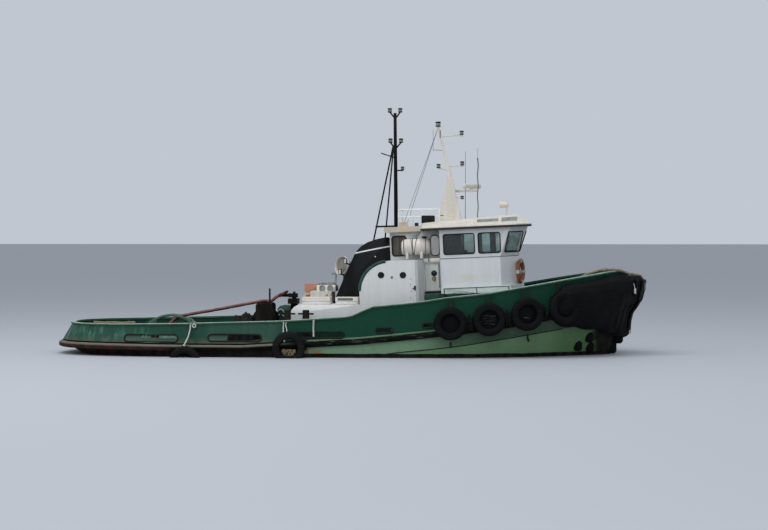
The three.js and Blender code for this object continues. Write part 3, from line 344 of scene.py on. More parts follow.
def tube(path, radius, sides=10, closed=False, lay=0.0, pitch=0.3, strands=3):
    """A round bar along a path: each ring is the path's point plus radius times cosine and sine of the
    angle, along two axes square to it. lay swells the radius along strands that wind once a pitch."""
    p = np.asarray(path, float)
    way = (np.roll(p, -1, 0) - np.roll(p, 1, 0)) if closed else np.gradient(p, axis=0)
    way /= np.linalg.norm(way, axis=1)[:, None]
    across = np.cross(way, np.eye(3)[np.abs(way).mean(0).argmin()])
    across /= np.linalg.norm(across, axis=1)[:, None]
    rise = np.cross(across, way)
    angle = np.linspace(0, 2 * np.pi, sides, endpoint=False)
    run = np.concatenate([[0], np.cumsum(np.linalg.norm(np.diff(p, axis=0), axis=1))])
    wound = angle[None] - 2 * np.pi * run[:, None] / pitch / strands
    swell = 1 + lay * np.abs(np.cos(0.5 * strands * wound)) - lay
    size = np.broadcast_to(radius, len(p))[:, None] * swell
    verts = p[:, None] + size[..., None] * (np.cos(angle)[None, :, None] * across[:, None]
                                            + np.sin(angle)[None, :, None] * rise[:, None])
    faces = [grid_faces(len(p), sides, wrap_rows=True)] if closed else capped(len(p), sides)
    return verts.reshape(-1, 3), faces


def block(low, high, round_by=0.02, steps=3):
    """A rounded box: each point of a ball of radius round_by, pushed out to the box's corner on its side."""
    low, high = np.asarray(low, float), np.asarray(high, float)
    quarter = np.linspace(0.04, np.pi / 2 - 0.04, steps)
    around = np.concatenate([quarter + k * np.pi / 2 for k in range(4)])
    down = np.concatenate([quarter, quarter + np.pi / 2])
    u, v = np.meshgrid(around, down)
    ball = np.stack([np.sin(v) * np.cos(u), np.sin(v) * np.sin(u), np.cos(v)], -1)
    side = np.stack([np.sign(np.cos(u)), np.sign(np.sin(u)), np.sign(np.cos(v))], -1)
    verts = (low + high) / 2 + side * ((high - low) / 2 - round_by) + round_by * ball
    return verts.reshape(-1, 3), capped(len(down), len(around))


def joined(*parts):
    """Several shapes as one."""
    verts, faces, count = [], [], 0
    for shape_verts, shape_faces in parts:
        verts.append(shape_verts)
        faces += [group + count for group in shape_faces]
        count += len(shape_verts)
    return np.vstack(verts), faces


def mirrored(shape):
    """A shape on the other side of the centreline."""
    verts, faces = shape
    return verts * (1, -1, 1), [group[:, ::-1] for group in faces]


def both(*parts):
    """Shapes on both sides."""
    shape = joined(*parts)
    return joined(shape, mirrored(shape))


def piece(name, shape, material, body="boat", stands_for=(), crease=40):
    """A new piece from points and faces, closed and in place."""
    verts, faces = shape
    mesh = bpy.data.meshes.new(name)
    mesh.from_pydata(verts.tolist(), [], [face for group in faces for face in group.tolist()])
    merge(mesh, True)
    finish_mesh(name, mesh, material, body, stands_for, crease)


def skin(node, xz, out=0.0):
    """Points (x, z) carried in from starboard onto the face of a CAD node that a ray along +Y meets."""
    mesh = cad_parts[node].data
    tree = BVHTree.FromPolygons([v.co for v in mesh.vertices], [f.vertices for f in mesh.polygons])
    inward = Vector((0, 1, 0))
    hits = [tree.ray_cast(Vector((x, -20.0, z)), inward)[0] for x, z in np.asarray(xz, float)]
    return np.array([(h.x, h.y - out, h.z) for h in hits])


SEAM = ((1.0, 0.1), (1.65, 0.186), (2.42, 0.262), (3.48, 0.375), (4.77, 0.57), (5.87, 0.748), (7.08, 0.948))
seam_look = worn("seam", "16241b", "2a3a2c", fade=0.4, rust=0.4, gloss=0.7, shine=0.15)
seam = skin("hull", spline(SEAM, 60), 0.004)
piece("knuckle_seam", both(tube(seam, 0.017, 8)), seam_look)
LUGS = ((3.35, 0.45, 0.09), (5.9, 0.72, 0.13), (5.93, 0.57, 0.05))
lugs = []
for x, z, size in LUGS:
    at = skin("hull", [(x, z)], 0.01)[0]
    lugs.append(block(at - (0.03, 0.02, size), at + (0.03, 0.02, size), 0.012))
piece("side_lugs", both(*lugs), seam_look)

# The rudder, of painted steel plate, hangs under the counter on its stock. The four-bladed
# propeller of cast bronze turns before it.
carried("rudder", bottom_paint, body="rudder")
bronze = worn("bronze", "7d5f36", "8a7a52", fade=0.7, rust=0.1, gloss=0.32, metallic=1.0)
carried("propeller", bronze, body="propeller")

# The rubbing strake: a half-round of heavy plate along the deck's edge, scraped to rust aft and
# black with old rubber forward.


def strake_zones(n):
    """Red-brown scale at the stern, black forward of it, silt on the upper face aft, scuffs amidships."""
    x, y, z = n.place()
    scale = n.mixed(n.ramp(n.noise(3.0, 6.0), 0.42, 0.6), "241f1d", "40231e")
    aft = n.mixed(n.ramp(x, -7.2, -5.2), scale, "080605")
    paint = n.mixed(n.ramp(x, -3.0, -1.6), aft, "050605")
    silt = n.times(n.ramp(n.upward(), 0.1, 0.55), n.ramp(x, -1.6, -2.6))
    paint = n.mixed(silt, paint, "68655b")
    scuffs = n.ramp(n.noise(1.6, 5.0, stretch=(1.5, 1.5, 12.0)), 0.57, 0.66)
    scuffs = n.times(scuffs, n.times(n.ramp(x, -1.8, -1.2), n.ramp(x, 3.2, 2.4)), 0.45)
    return {"Paint": n.mixed(scuffs, paint, "6d736d"), "Faded": n.mixed(0.04, paint, "777069"),
            "Rust": n.ramp(x, -7.0, -3.0, 0.35, 0.03)}


strake_look = worn("strake", "3a2f2b", "63605a", fade=0.6, gloss=0.66, bump=0.02, shine=0.05, grain=0.3,
                   zones=strake_zones)
carried("rubbing_strake", strake_look)

# The bulwarks: plate round the deck with a pale flat cap rail, freeing ports cut low in the side,
# and brown grime along the foot aft. The paint is streaked and faded towards the stern.
DECK_EDGE = np.array([
    (-10.27, 0.35, 0.5), (-10.18, 0.98, 0.5), (-9.9, 1.6, 0.5), (-9.65, 1.9, 0.495), (-9.4, 2.12, 0.495),
    (-8.8, 2.45, 0.49), (-8.0, 2.72, 0.485), (-6.8, 2.92, 0.47), (-5.4, 3.03, 0.46), (-3.6, 3.1, 0.46),
    (-1.6, 3.1, 0.58), (0.4, 3.1, 0.7), (2.4, 3.1, 0.9), (4.0, 3.05, 1.08), (5.4, 2.9, 1.28),
    (6.6, 2.6, 1.5), (7.5, 2.15, 1.68), (8.2, 1.6, 1.795), (8.7, 1.12, 1.88), (9.05, 0.68, 1.925),
    (9.34, 0.22, 1.96), (9.4, 0.0, 1.96)])
RAIL = np.array([
    (-10.3, 1.04), (-9.65, 1.03), (-8.05, 1.035), (-5.55, 1.08), (-2.3, 1.175), (-1.17, 1.25), (-0.16, 1.32),
    (0.07, 1.37), (0.4, 1.52), (0.77, 1.67), (1.67, 1.75), (2.44, 1.84), (3.17, 1.96), (4.66, 2.12),
    (5.65, 2.3), (7.14, 2.56), (8.57, 2.79), (8.9, 2.825), (9.5, 2.74)])
RAIL_IN = np.array([
    (-10.3, 0.33), (-9.4, 0.23), (-8.0, 0.15), (-5.4, 0.08), (0.0, 0.05), (4.0, 0.02), (6.6, -0.03),
    (8.2, -0.06), (9.5, 0.04)])


def edge(x):
    """Half-breadth of the deck at x, straight between stations."""
    return np.interp(x, DECK_EDGE[:, 0], DECK_EDGE[:, 1])


def deck(x):
    """Height of the deck at x."""
    return np.interp(x, DECK_EDGE[:, 0], DECK_EDGE[:, 2])


def rail(x):
    """Height of the bulwark's top at x, under the cap."""
    return np.interp(x, RAIL[:, 0], RAIL[:, 1])


def outward(x):
    """Unit normal of the deck's edge on the port side, (x, y)."""
    step = 0.06
    slope = (edge(x + step) - edge(x - step)) / (2 * step)
    return np.stack([-slope, np.ones_like(slope)], -1) / np.hypot(slope, 1)[..., None]


def bulwark_skin(x, z, out=0.0):
    """Points on the starboard bulwark's outer face: it leans in by a share of the rail's inset."""
    x, z = np.broadcast_arrays(np.asarray(x, float), np.asarray(z, float))
    share = (z - deck(x)) / (rail(x) - deck(x))
    off = out - np.interp(x, RAIL_IN[:, 0], RAIL_IN[:, 1]) * share
    way = outward(x)
    return np.stack([x + way[..., 0] * off, -(edge(x) + way[..., 1] * off), z], -1)


def round_rect(a0, a1, b0, b1, r, steps=5):
    """Outline points of a rectangle with rounded corners."""
    angle = np.concatenate([np.linspace(0, np.pi / 2, steps) + k * np.pi / 2 for k in range(4)])
    middle = np.array([(a0 + a1) / 2, (b0 + b1) / 2])
    half = np.array([(a1 - a0) / 2 - r, (b1 - b0) / 2 - r])
    corner = np.repeat(np.array([(1, 1), (-1, 1), (-1, -1), (1, -1)]), steps, 0)
    return middle + corner * half + r * np.stack([np.cos(angle), np.sin(angle)], -1)


def slab(front, back):
    """A plate between two matching outlines of points."""
    return np.vstack([front, back]), capped(2, len(front))


def bulwark_zones(n):
    """Fade, a bleached length and foot grime by the distance aft."""
    x, y, z = n.place()
    aft = n.ramp(x, -1.9, -2.7)
    stern = n.ramp(x, -6.0, -8.0)
    patchy = n.times(n.ramp(z, 0.68, 0.5), aft, n.ramp(n.noise(3.0, 6.0), 0.3, 0.5))
    bleached = n.ramp(x, -5.2, -4.5)
    side = n.mixed(bleached, "183f31", "2d4c3f")
    green = n.mixed(aft, "0f3b2b", n.mixed(stern, side, "27493c"))
    green = n.mixed(n.ramp(x, 4.5, 8.0), green, "0c3024")
    streaks = n.ramp(n.noise(1.0, stretch=(6.0, 6.0, 0.5), shift=2.0), 0.5, 0.62)
    lifted = n.times(streaks, n.times(stern, n.ramp(z, 0.45, 0.75)), 0.6)
    green = n.mixed(lifted, green, "4f7f6c")
    return {"Paint": n.mixed(n.times(patchy, 0.75), green, "5c564c"),
            "Faded": n.mixed(aft, "153d2f", n.mixed(bleached, "26473a", "365548")),
            "Fade": n.ramp(x, 1.5, -3.5, 0.4, 0.7), "Rust": n.ramp(x, 0.0, -3.0, 0.03, 0.16)}


bulwark_paint = worn("bulwark", "1f523d", "2a5a46", gloss=0.45, shine=0.08, grain=0.14, zones=bulwark_zones)
for length in ("stern", "aft_port", "aft_stbd", "fore_port", "fore_stbd", "bow"):
    carried("bulwark_" + length, bulwark_paint, crease=24)


def rail_zones(n):
    """Pale worn paint on top, dark green on the sides."""
    top = n.ramp(n.upward(), 0.5, 0.8)
    return {"Paint": n.mixed(top, "1c4a38", "7f9b8a"), "Faded": n.mixed(top, "4a5a4c", "a9b5a4")}


rail_look = worn("cap_rail", "7f9b8a", "a9b5a4", fade=0.6, rust=0.25, gloss=0.55, zones=rail_zones)
carried("cap_rail", rail_look, crease=24)
bead_x = np.union1d(DECK_EDGE[1:-2, 0], RAIL[1:-1, 0])
bead = bulwark_skin(bead_x, rail(bead_x), 0.047) + (0, 0, 0.05)
bead_look = worn("rail_edge", "7d9a89", "9fae9f", fade=0.9, rust=0.3, gloss=0.6, shine=0.2, grain=0.3)
piece("rail_edge", both(tube(bead, 0.014, 8)), bead_look)

PORTS = ((-7.68, -5.82, 0.62, 0.24), (-4.78, -2.98, 0.65, 0.23), (-1.83, -0.2, 0.76, 0.2),
         (0.87, 1.43, 0.915, 0.18), (2.42, 2.78, 1.09, 0.16))
port_edge = worn("port_edge", "0f1412", "2a2e28", fade=0.5, rust=0.3, gloss=0.6, shine=0.15)
frames = []
for x0, x1, middle, height in PORTS:
    outline = round_rect(x0, x1, middle - height / 2, middle + height / 2, height / 2 - 0.001, 7)
    frames.append(tube(bulwark_skin(outline[:, 0], outline[:, 1], 0.003), 0.03, 8, closed=True))
piece("port_frames", both(*frames), port_edge)

STAY_X = (-8.6, -7.75, -5.6, -4.95, -2.85, -1.95, 0.35, 1.85, 3.4, 4.5, 5.6, 6.6)
STAY_FOOT, STAY_HEAD, STAY_HALF = 0.22, 0.05, 0.008
stays = []
for x in STAY_X:
    low = bulwark_skin(x, deck(x) + 0.01, -0.065)
    high = bulwark_skin(x, rail(x) - 0.02, -0.065)
    corner = np.array([low, high, high + (0, STAY_HEAD, 0), low + (0, STAY_FOOT, 0)])
    stays.append(slab(corner - (STAY_HALF, 0, 0), corner + (STAY_HALF, 0, 0)))
piece("bulwark_stays", both(*stays), bulwark_paint, crease=20)

# Truck tyres hung as fenders, with rubber bars and mats between them along the bow. The rubber is
# old, near black, and worn grey where it rubs.
TYRE_HOLE, TYRE_OUT, TYRE_WIDE = 0.3, 0.555, 0.27
TYRES_FORWARD = ((3.35, 1.16), (4.61, 1.3), (5.83, 1.47), (7.0, 1.68))
MID_TYRE = (-2.02, 0.34)
STRAKE_WIDE = 0.14
TYRE_OFF = STRAKE_WIDE + TYRE_WIDE / 2 + 0.0006
BAR_REACH = 0.49


def rubber(name, shade, dust_and_sheen, coarse=16.0):
    """Old rubber: near black, greyed by dust in patches, with scuffs; on the belt slats that grey is
    painted sheen.
    """
    material = bpy.data.materials.new(name)
    material.use_nodes = True
    n = Nodes(material.node_tree)
    shader = material.node_tree.nodes["Principled BSDF"]
    shader.inputs["Specular IOR Level"].default_value = 0.1
    patches = n.ramp(n.noise(2.2, 6.0), 0.42, 0.7)
    scuffs = n.ramp(n.noise(1.4, stretch=(3.0, 3.0, 14.0)), 0.58, 0.72, 0.0, 0.6)
    mask = n.maths("MAXIMUM", n.times(patches, 0.5), scuffs)
    relief = n.add("Bump", {"Height": n.noise(coarse, 5.0), "Distance": 0.01, "Strength": 0.7})
    n.give(n.mixed(mask, shade, dust_and_sheen), shader.inputs["Base Color"])
    n.give(n.ramp(patches, 0, 1, 0.66, 0.88), shader.inputs["Roughness"])
    n.give(relief.outputs[0], shader.inputs["Normal"])
    return material


def hung(x, z):
    """The middle of a tyre that lies against the strake at x, and the way that it faces."""
    way = outward(x)
    axis = np.array([way[0], -way[1], 0.0])
    return np.array([x, -edge(x), z]) + TYRE_OFF * axis, axis


def signed_power(value, exponent):
    """The power of a value's size, with its sign kept."""
    return np.sign(value) * np.abs(value) ** exponent


def tyre(x, z):
    """A truck tyre facing out from the side: a ring whose section is a rounded oblong, radius and
    width as powers of cosine and sine, with tread blocks cut across its outer face."""
    turns, overs = 96, 32
    centre, axis = hung(x, z)
    around, over = np.meshgrid(np.linspace(0, 2 * np.pi, turns, endpoint=False),
                               np.linspace(0, 2 * np.pi, overs, endpoint=False), indexing="ij")
    tall = (TYRE_OUT - TYRE_HOLE) / 2
    wide = TYRE_WIDE / 2 * signed_power(np.sin(over), 0.7)
    blocks = np.clip(6 * np.cos(26 * around + 6 * wide / TYRE_WIDE), -1, 1)
    tread = np.clip((np.cos(over) - 0.45) * 4, 0, 1) * (0.5 - 0.5 * blocks) * 0.022
    rings = 0.006 * np.clip(np.cos(over * 9), 0, 1) * (np.abs(np.sin(over)) > 0.6)
    radius = (TYRE_OUT + TYRE_HOLE) / 2 + tall * signed_power(np.cos(over), 0.62) - tread
    wide = wide + np.sign(wide) * (rings - 0.006)
    side = np.cross(axis, (0, 0, 1))
    verts = (centre + (radius * np.cos(around))[..., None] * side
             + (radius * np.sin(around))[..., None] * (0, 0, 1) + wide[..., None] * axis)
    return verts.reshape(-1, 3), [grid_faces(turns, overs, wrap_rows=True)]


def pair(names, shape, material, stands_for=None, body="boat"):
    """A piece to starboard and its mirror image to port. {} in a node's or body's name is the side."""
    for name, side, half in zip(names, ("stbd", "port"), (shape, mirrored(shape))):
        nodes = [stands_for.format(side)] if stands_for else ()
        piece(name, half, material, body.format(side), nodes)


tyre_rubber = rubber("tyre_rubber", "070808", "191b1c")
worn_tyre = rubber("worn_tyre", "0c0d0d", "262826")
bow_set = [tyre(x, z) for x, z in TYRES_FORWARD]
for (x0, z0), (x1, z1) in zip(TYRES_FORWARD[:-1], TYRES_FORWARD[1:]):
    ends = []
    for x, z, ahead in ((x0, z0, BAR_REACH), (x1, z1, -BAR_REACH)):
        y = -edge(x + ahead) - TYRE_OFF * outward(x)[1]
        ends.append(np.array([x + ahead, y, z + ahead * 0.13]))
    bow_set.append(tube(np.linspace(ends[0], ends[1], 4), 0.07, 10))
    height = (z0 + z1) / 2
    for off in (-0.085, 0.0, 0.085):
        x = (x0 + x1) / 2 + off
        y = -edge(x) - TYRE_OFF - 0.075
        bow_set.append(block((x - 0.03, y, height - 0.3), (x + 0.03, y + 0.17, height + 0.24 - abs(off))))
pair(("bow_tyres_starboard", "bow_tyres_port"), joined(*bow_set), tyre_rubber,
     "tyres_forward_{}")
for label, (x, z) in (("mid", MID_TYRE), ("aft", (-5.5, -0.16))):
    pair((label + "_tyre_starboard", label + "_tyre_port"), tyre(x, z), worn_tyre,
         "tyre_" + label + "_{}")

# Inside the forward tyres: discs of conveyor belt close the hole, with cut edges showing as slats
# whose pale grey is painted highlight. In the midship tyre's hole lies dried weed and rope waste.


def turned(profile, place, axis=(0, 0, 1), segments=28):
    """A profile of radius and height pairs, turned about an axis through a place."""
    profile = np.asarray(profile, float)
    axis = np.asarray(axis, float) / np.linalg.norm(axis)
    across = np.cross(axis, np.eye(3)[np.abs(axis).argmin()])
    across /= np.linalg.norm(across)
    rise = np.cross(axis, across)
    angle = np.linspace(0, 2 * np.pi, segments, endpoint=False)
    circle = np.cos(angle)[:, None] * across + np.sin(angle)[:, None] * rise
    verts = np.asarray(place) + profile[:, :1, None] * circle[None] + profile[:, 1:, None] * axis
    return verts.reshape(-1, 3), capped(len(profile), segments)


DISC = ((0, 0.02), (0.2, 0.014), (0.305, 0.0), (0.305, -0.03), (0, -0.03))
DISC_SUNK = 0.1
discs, slats = [], []
for x, z in TYRES_FORWARD:
    centre, axis = hung(x, z)
    discs.append(turned(DISC, centre - DISC_SUNK * axis, axis))
for (x, z), drops in zip(TYRES_FORWARD[1:], ((0.11, 0.03, -0.06, -0.15), (-0.13,), (0.02, -0.12))):
    for drop in drops:
        reach = math.sqrt(0.29 ** 2 - drop ** 2) * (0.9 if len(drops) > 2 else 0.6)
        run = np.linspace(-reach, reach, 13)
        lift = 0.014 * np.cos(run * 9) + 0.01 * np.sin(run * 17 + drop * 30)
        path = np.stack([x + run, -edge(x + run) - TYRE_OFF + 0.045, z + drop + lift], -1)
        slats.append(tube(path, 0.011, 8))
piece("tyre_discs", both(*discs), tyre_rubber)
# Painted highlight: the slats' pale grey stands for the light that the belt edges catch.
piece("tyre_belts", both(*slats), rubber("belt_edges_highlight", "17191b", "83888c", coarse=30.0))
WASTE = ((205, 0.2, 0.02, 0.1), (238, 0.2, 0.03, 0.14), (268, 0.19, 0.03, 0.15), (298, 0.2, 0.02, 0.12),
         (330, 0.2, 0.02, 0.09), (255, 0.1, 0.02, 0.1), (290, 0.1, 0.02, 0.1))
waste = []
for degrees, reach, tall, wide in WASTE:
    angle = math.radians(degrees)
    at = np.array([-2.02 + reach * math.cos(angle), -3.3, 0.33 + reach * math.sin(angle)])
    waste.append(block(at - (wide * 0.7, 0.08, tall + 0.05), at + (wide * 0.7, 0.09, tall + 0.04), 0.03))
weed = worn("dry_weed", "5a5344", "8a7a58", fade=0.9, rust=0.8, gloss=0.9, bump=0.03, shine=0.1, grain=0.8)
piece("tyre_waste", both(*waste), weed)

# What the tyres hang from: chains for the forward ones, laid white ropes for the others. They come
# down over the bulwark from under its rail.
chain_look = worn("chain", "181311", "2e2520", fade=0.7, rust=0.6, gloss=0.6, metallic=0.3, shine=0.15)
rope_white = worn("white_rope", "b9bdb6", "8f948c", fade=0.6, rust=0.0, gloss=0.85, bump=0.01, shine=0.15)


def rope(points, radius):
    """A laid rope of three strands through points."""
    path = np.asarray(points, float)
    length = np.linalg.norm(np.diff(path, axis=0), axis=1).sum()
    count = max(8, int(length / (radius * 1.4)))
    return tube(spline(path, count), radius, 12, lay=0.22, pitch=radius * 7)


legs = []
for x, z in TYRES_FORWARD:
    for off in (-0.1, 0.1):
        top = bulwark_skin(x + off, rail(x + off) - 0.03, 0.04)
        low = np.array([x + off * 0.7, -edge(x) - TYRE_OFF + 0.03, z + TYRE_OUT - 0.06])
        legs.append(rope([top, (top + low) / 2 + (0, -0.01, 0), low], 0.022))
piece("tyre_chains", both(*legs), chain_look)
bight = np.linspace(0, 2 * np.pi, 16, endpoint=False)
bight_path = bulwark_skin(-5.25 + 0.055 * np.cos(bight), 1.05 + 0.055 * np.sin(bight), 0.07)
aft_ropes = [
    rope([bulwark_skin(-2.22, 1.2, 0.07), bulwark_skin(-2.23, 1.02, 0.06), bulwark_skin(-2.22, 0.83, 0.12),
          (-2.19, -3.41, 0.68), (-2.16, -3.4, 0.54)], 0.024),
    rope([bulwark_skin(-2.13, 1.19, 0.07), bulwark_skin(-2.15, 1.08, 0.06), (-2.1, -3.25, 0.95),
          (-2.08, -3.35, 0.86)], 0.017),
    rope([bulwark_skin(-5.37, 1.11, 0.07), bulwark_skin(-5.39, 0.92, 0.06), bulwark_skin(-5.44, 0.68, 0.1),
          (-5.5, -3.26, 0.52), (-5.56, -3.27, 0.39)], 0.026),
    rope([bulwark_skin(-1.21, 1.27, 0.07), bulwark_skin(-1.22, 1.0, 0.05),
          bulwark_skin(-1.21, 0.71, 0.06)], 0.032),
    tube(bight_path, 0.02, 8, True),
    block((-5.6, -3.29, 0.36), (-5.5, -3.2, 0.44), 0.03)]
piece("tyre_ropes", both(*aft_ropes), rope_white)

# The bow fender: sheets of old rubber lashed over the stem in one thick mass, from the last tyre round
# to the other side, with ragged ends that hang down the stem.
fender_rubber = rubber("fender_rubber", "070708", "17181a", coarse=5.0)
FENDER_X = (6.6, 6.93, 7.2, 7.57, 8.0, 8.45, 8.84, 9.4)
FENDER_TOP = (2.1, 2.33, 2.45, 2.5, 2.54, 2.65, 2.71, 2.68)
FENDER_FOOT = (1.2, 1.07, 1.04, 0.98, 0.93, 0.86, 0.72, 0.58)
FACE_UP = (0.0, 0.04, 0.15, 0.27, 0.4, 0.46, 0.5, 0.62, 0.8, 0.92, 1.0)
SIDE_FACE = (-0.1, 0.1, 0.26, 0.34, 0.41, 0.43, 0.45, 0.48, 0.47, 0.38, 0.2)
STEM_FACE = (-0.2, -0.02, 0.0, 0.02, 0.09, 0.19, 0.25, 0.4, 0.5, 0.53, 0.4)
STEM_X, FENDER_AFT = 9.4, 6.62
rng = np.random.default_rng(5)


def bow_line(t):
    """The deck's edge round the bow, t from 0 at starboard aft, over 0.5 at the stem, to 1 at port."""
    far = np.abs(2 * t - 1)
    x = STEM_X - (STEM_X - FENDER_AFT) * far ** 1.35
    side = np.sign(2 * t - 1)
    way = outward(np.minimum(x, 9.3))
    nose = np.clip((x - 8.9) / 0.5, 0, 1)[..., None]
    out = (1 - nose) * way + nose * np.array([1.0, 0.25])
    out /= np.linalg.norm(out, axis=-1)[..., None]
    return x, side * edge(x), out[..., 0], side * out[..., 1]


def fender_face(x, s):
    """Offset from the deck's edge and height of the fender's face: s runs from its foot to its top. The
    side's section passes into the stem's over the last metre, and the aft end is rounded off."""
    near = np.clip((x - 8.5) / 0.7, 0, 1)
    off = (1 - near) * np.interp(s, FACE_UP, SIDE_FACE) + near * np.interp(s, FACE_UP, STEM_FACE)
    round_off = np.sqrt(np.clip((x - 6.6) / 0.5, 0, 1))
    foot, top = np.interp(x, FENDER_X, FENDER_FOOT), np.interp(x, FENDER_X, FENDER_TOP)
    height = (foot + top) / 2 + (s - 0.5) * (top - foot) * (0.55 + 0.45 * round_off)
    return off * round_off, height


def fender_belt():
    """The mass: its face carried round the bow, with soft slanting folds by sines of place and height."""
    rounds, ups = 241, 40
    t = np.linspace(0.0, 1.0, rounds)[:, None]
    s = np.linspace(0, 1, ups)[None]
    x, y, ox, oy = bow_line(t)
    off, height = fender_face(x, s)
    folds = (0.022 * np.sin(34 * t + 5.0 * s) + 0.014 * np.sin(71 * t - 9.0 * s + 1.0)
             + 0.009 * np.sin(15 * s + 23 * t)) * np.sin(np.pi * np.clip(s, 0.02, 0.98)) ** 0.6
    ragged = 0.03 * np.sin(57 * t) * (1 - s) ** 3
    off, height = off + folds, height + ragged
    outer = np.stack([x + ox * off, y + oy * off, height], -1)
    tuck = np.array([[-0.06, -0.28]])
    back_y = y + oy * tuck * np.clip(np.abs(y) * 3, 0, 1)
    back = np.stack([x + ox * tuck, back_y, height[:, [-1, 0]]], -1)
    rings = np.concatenate([outer, back], 1)
    return rings.reshape(-1, 3), capped(rounds, rings.shape[1])


def fender_strip(t, top, foot, wide, thick):
    """A hanging strip of rubber: a bowed bar that follows the face down between two of its heights."""
    steps = 14
    x, y, ox, oy = (np.float64(v) for v in bow_line(np.array(t)))
    off, height = fender_face(x, np.linspace(top, foot, steps))
    spine = np.stack([x + ox * (off + 0.01), y + oy * (off + 0.01), height], -1)
    along = np.array([-oy, ox, 0.0]) * wide / 2
    out = np.array([ox, oy, 0.0]) * thick
    ring = np.stack([spine - along, spine - along * 0.7 + out, spine + along * 0.7 + out, spine + along], 1)
    return ring.reshape(-1, 3), capped(steps, 4)


strips = [fender_strip(t, rng.uniform(0.5, 0.75), rng.uniform(0.0, 0.12), rng.uniform(0.16, 0.3),
                       rng.uniform(0.02, 0.045))
          for t in (0.33, 0.38, 0.43, 0.475, 0.5, 0.53, 0.57, 0.62, 0.67)]
strips += [fender_strip(t, 0.95, rng.uniform(0.55, 0.7), 0.22, 0.035)
           for t in (0.41, 0.455, 0.5, 0.545, 0.59)]
low_pads = []
for x, z in ((7.59, 0.34), (7.97, 0.62), (8.0, 0.28)):
    y = skin("hull", [(x, z)])[0][1]
    low_pads.append(block((x - 0.15, y - 0.13, z - 0.18), (x + 0.15, y + 0.1, z + 0.18), 0.125, 5))
stem_pads = [block((8.5, -0.2, 0.02), (8.94, 0.2, 0.5), 0.1, 4),
             block((8.75, -0.26, 0.36), (9.16, 0.26, 0.95), 0.12, 4)]
piece("bow_fender_rubber", joined(fender_belt(), *strips, both(*low_pads), *stem_pads), fender_rubber,
      stands_for=["bow_fender"], crease=50)
tag_at = skin("bow_fender", [(9.53, 2.19), (9.5, 2.36), (9.45, 2.5)], 0.04)
tag = block(tag_at[0] - (0.035, 0.02, 0.09), tag_at[0] + (0.035, 0.02, 0.09), 0.012)
piece("fender_tags", joined(tag, tube(tag_at + (0, 0, 0.05), 0.01, 8)), rope_white)

# The engine casing: a white box of welded plate with a rounded after edge. Two hatch covers stand on
# coamings on its top, and rust has run along their feet.


def foot_zones(n):
    """White above, dark green paint below the side deck's kick line."""
    x, y, z = n.place()
    white = n.ramp(n.minus(z, n.times(x, 0.09)), 1.0, 1.02)
    return {"Paint": n.mixed(white, "16382b", "d0d1d1"), "Faded": n.mixed(white, "1f4535", "c0c1bc")}


house_white = worn("house_white", "d0d1d1", "c0c1bc", fade=0.45, rust=0.08, gloss=0.36, bump=0.004,
                   grain=0.04, zones=foot_zones)
carried("engine_casing", house_white)
cream = worn("cream", "dcd5c9", "c6bca9", fade=0.5, rust=0.1, gloss=0.4, grain=0.05)
carried("skylight_lid", cream, body="skylight_lid")
carried("manhole_lid", cream, body="manhole_lid")
CASING_TOP = 1.74
rust_look = worn("rust_line", "8a6f5c", "c0b7a6", fade=0.9, rust=0.5, gloss=0.8, grain=0.4)
feet = []
for x0, x1, y1 in ((-0.595, 0.165, -1.215), (-1.735, -0.785, -1.265)):
    outline = round_rect(x0, x1, -1.985, y1, 0.03)
    feet.append(tube(np.column_stack([outline, np.full(len(outline), CASING_TOP + 0.006)]), 0.012, 6, True))
piece("coaming_rust", joined(*feet), rust_look)
grey_metal = worn("grey_metal", "5f6363", "83857f", fade=0.6, rust=0.3, gloss=0.5)
grille = [block((x, -1.9955, 1.885), (x + 0.022, -1.985, 1.95), 0.004, 2)
          for x in np.linspace(-0.5, -0.04, 13)]
backing = np.array([(-0.52, 0, 1.875), (-0.52, 0, 1.96), (0.0, 0, 1.96), (0.0, 0, 1.875)])
grille.append(slab(backing - (0, 1.9905, 0), backing - (0, 1.98, 0)))
piece("skylight_grille", joined(*grille), grey_metal, body="skylight_lid")

# The deckhouse: white plate with a quarter-round after top corner, edged by a green band. Two small
# round ports, a weld seam with a knob, and a dark latch are on each side.
TILT = math.radians(2.5)
HOUSE_SIDE = -2.2
TO_STARBOARD = (0, -1, 0)


def lie(*parts):
    """Shapes drawn level, turned 2.5 degrees up at the bow, as all the houses lie."""
    verts, faces = joined(*parts)
    x, y, z = verts.T
    turned_x = x * math.cos(TILT) - z * math.sin(TILT)
    turned_z = x * math.sin(TILT) + z * math.cos(TILT)
    return np.stack([turned_x, y, turned_z], -1), faces


def level_place(n):
    """Coordinates of the houses as drawn, before the tilt."""
    x, y, z = n.place()
    level_x = n.plus(n.times(x, math.cos(TILT)), n.times(z, math.sin(TILT)))
    level_z = n.minus(n.times(z, math.cos(TILT)), n.times(x, math.sin(TILT)))
    return level_x, y, level_z


def bar(start, end, radius, sides=14):
    """A straight round bar, whose radius may differ at its ends."""
    return tube(np.linspace(start, end, 3), np.linspace(*np.broadcast_to(radius, 2), 3), sides)


def deckhouse_zones(n):
    """The forward corner strip is greyer, as painted shade, rust runs down beside it, and the foot is green.
    """
    x, y, z = level_place(n)
    runs = n.times(n.ramp(x, 2.18, 2.24), n.ramp(x, 2.32, 2.3))
    white = n.ramp(n.minus(z, n.times(x, 0.05)), 1.0, 1.02)
    # Painted shade: past x = 2.33 the white turns grey, for the shade on the house's forward corner.
    paint = n.mixed(n.ramp(x, 2.325, 2.335), "d0d1d1", "a3a7a3")
    return {"Paint": n.mixed(white, "16382b", paint), "Faded": n.mixed(white, "1f4535", "c2c3bf"),
            "Rust": n.ramp(runs, 0, 1, 0.05, 0.6)}


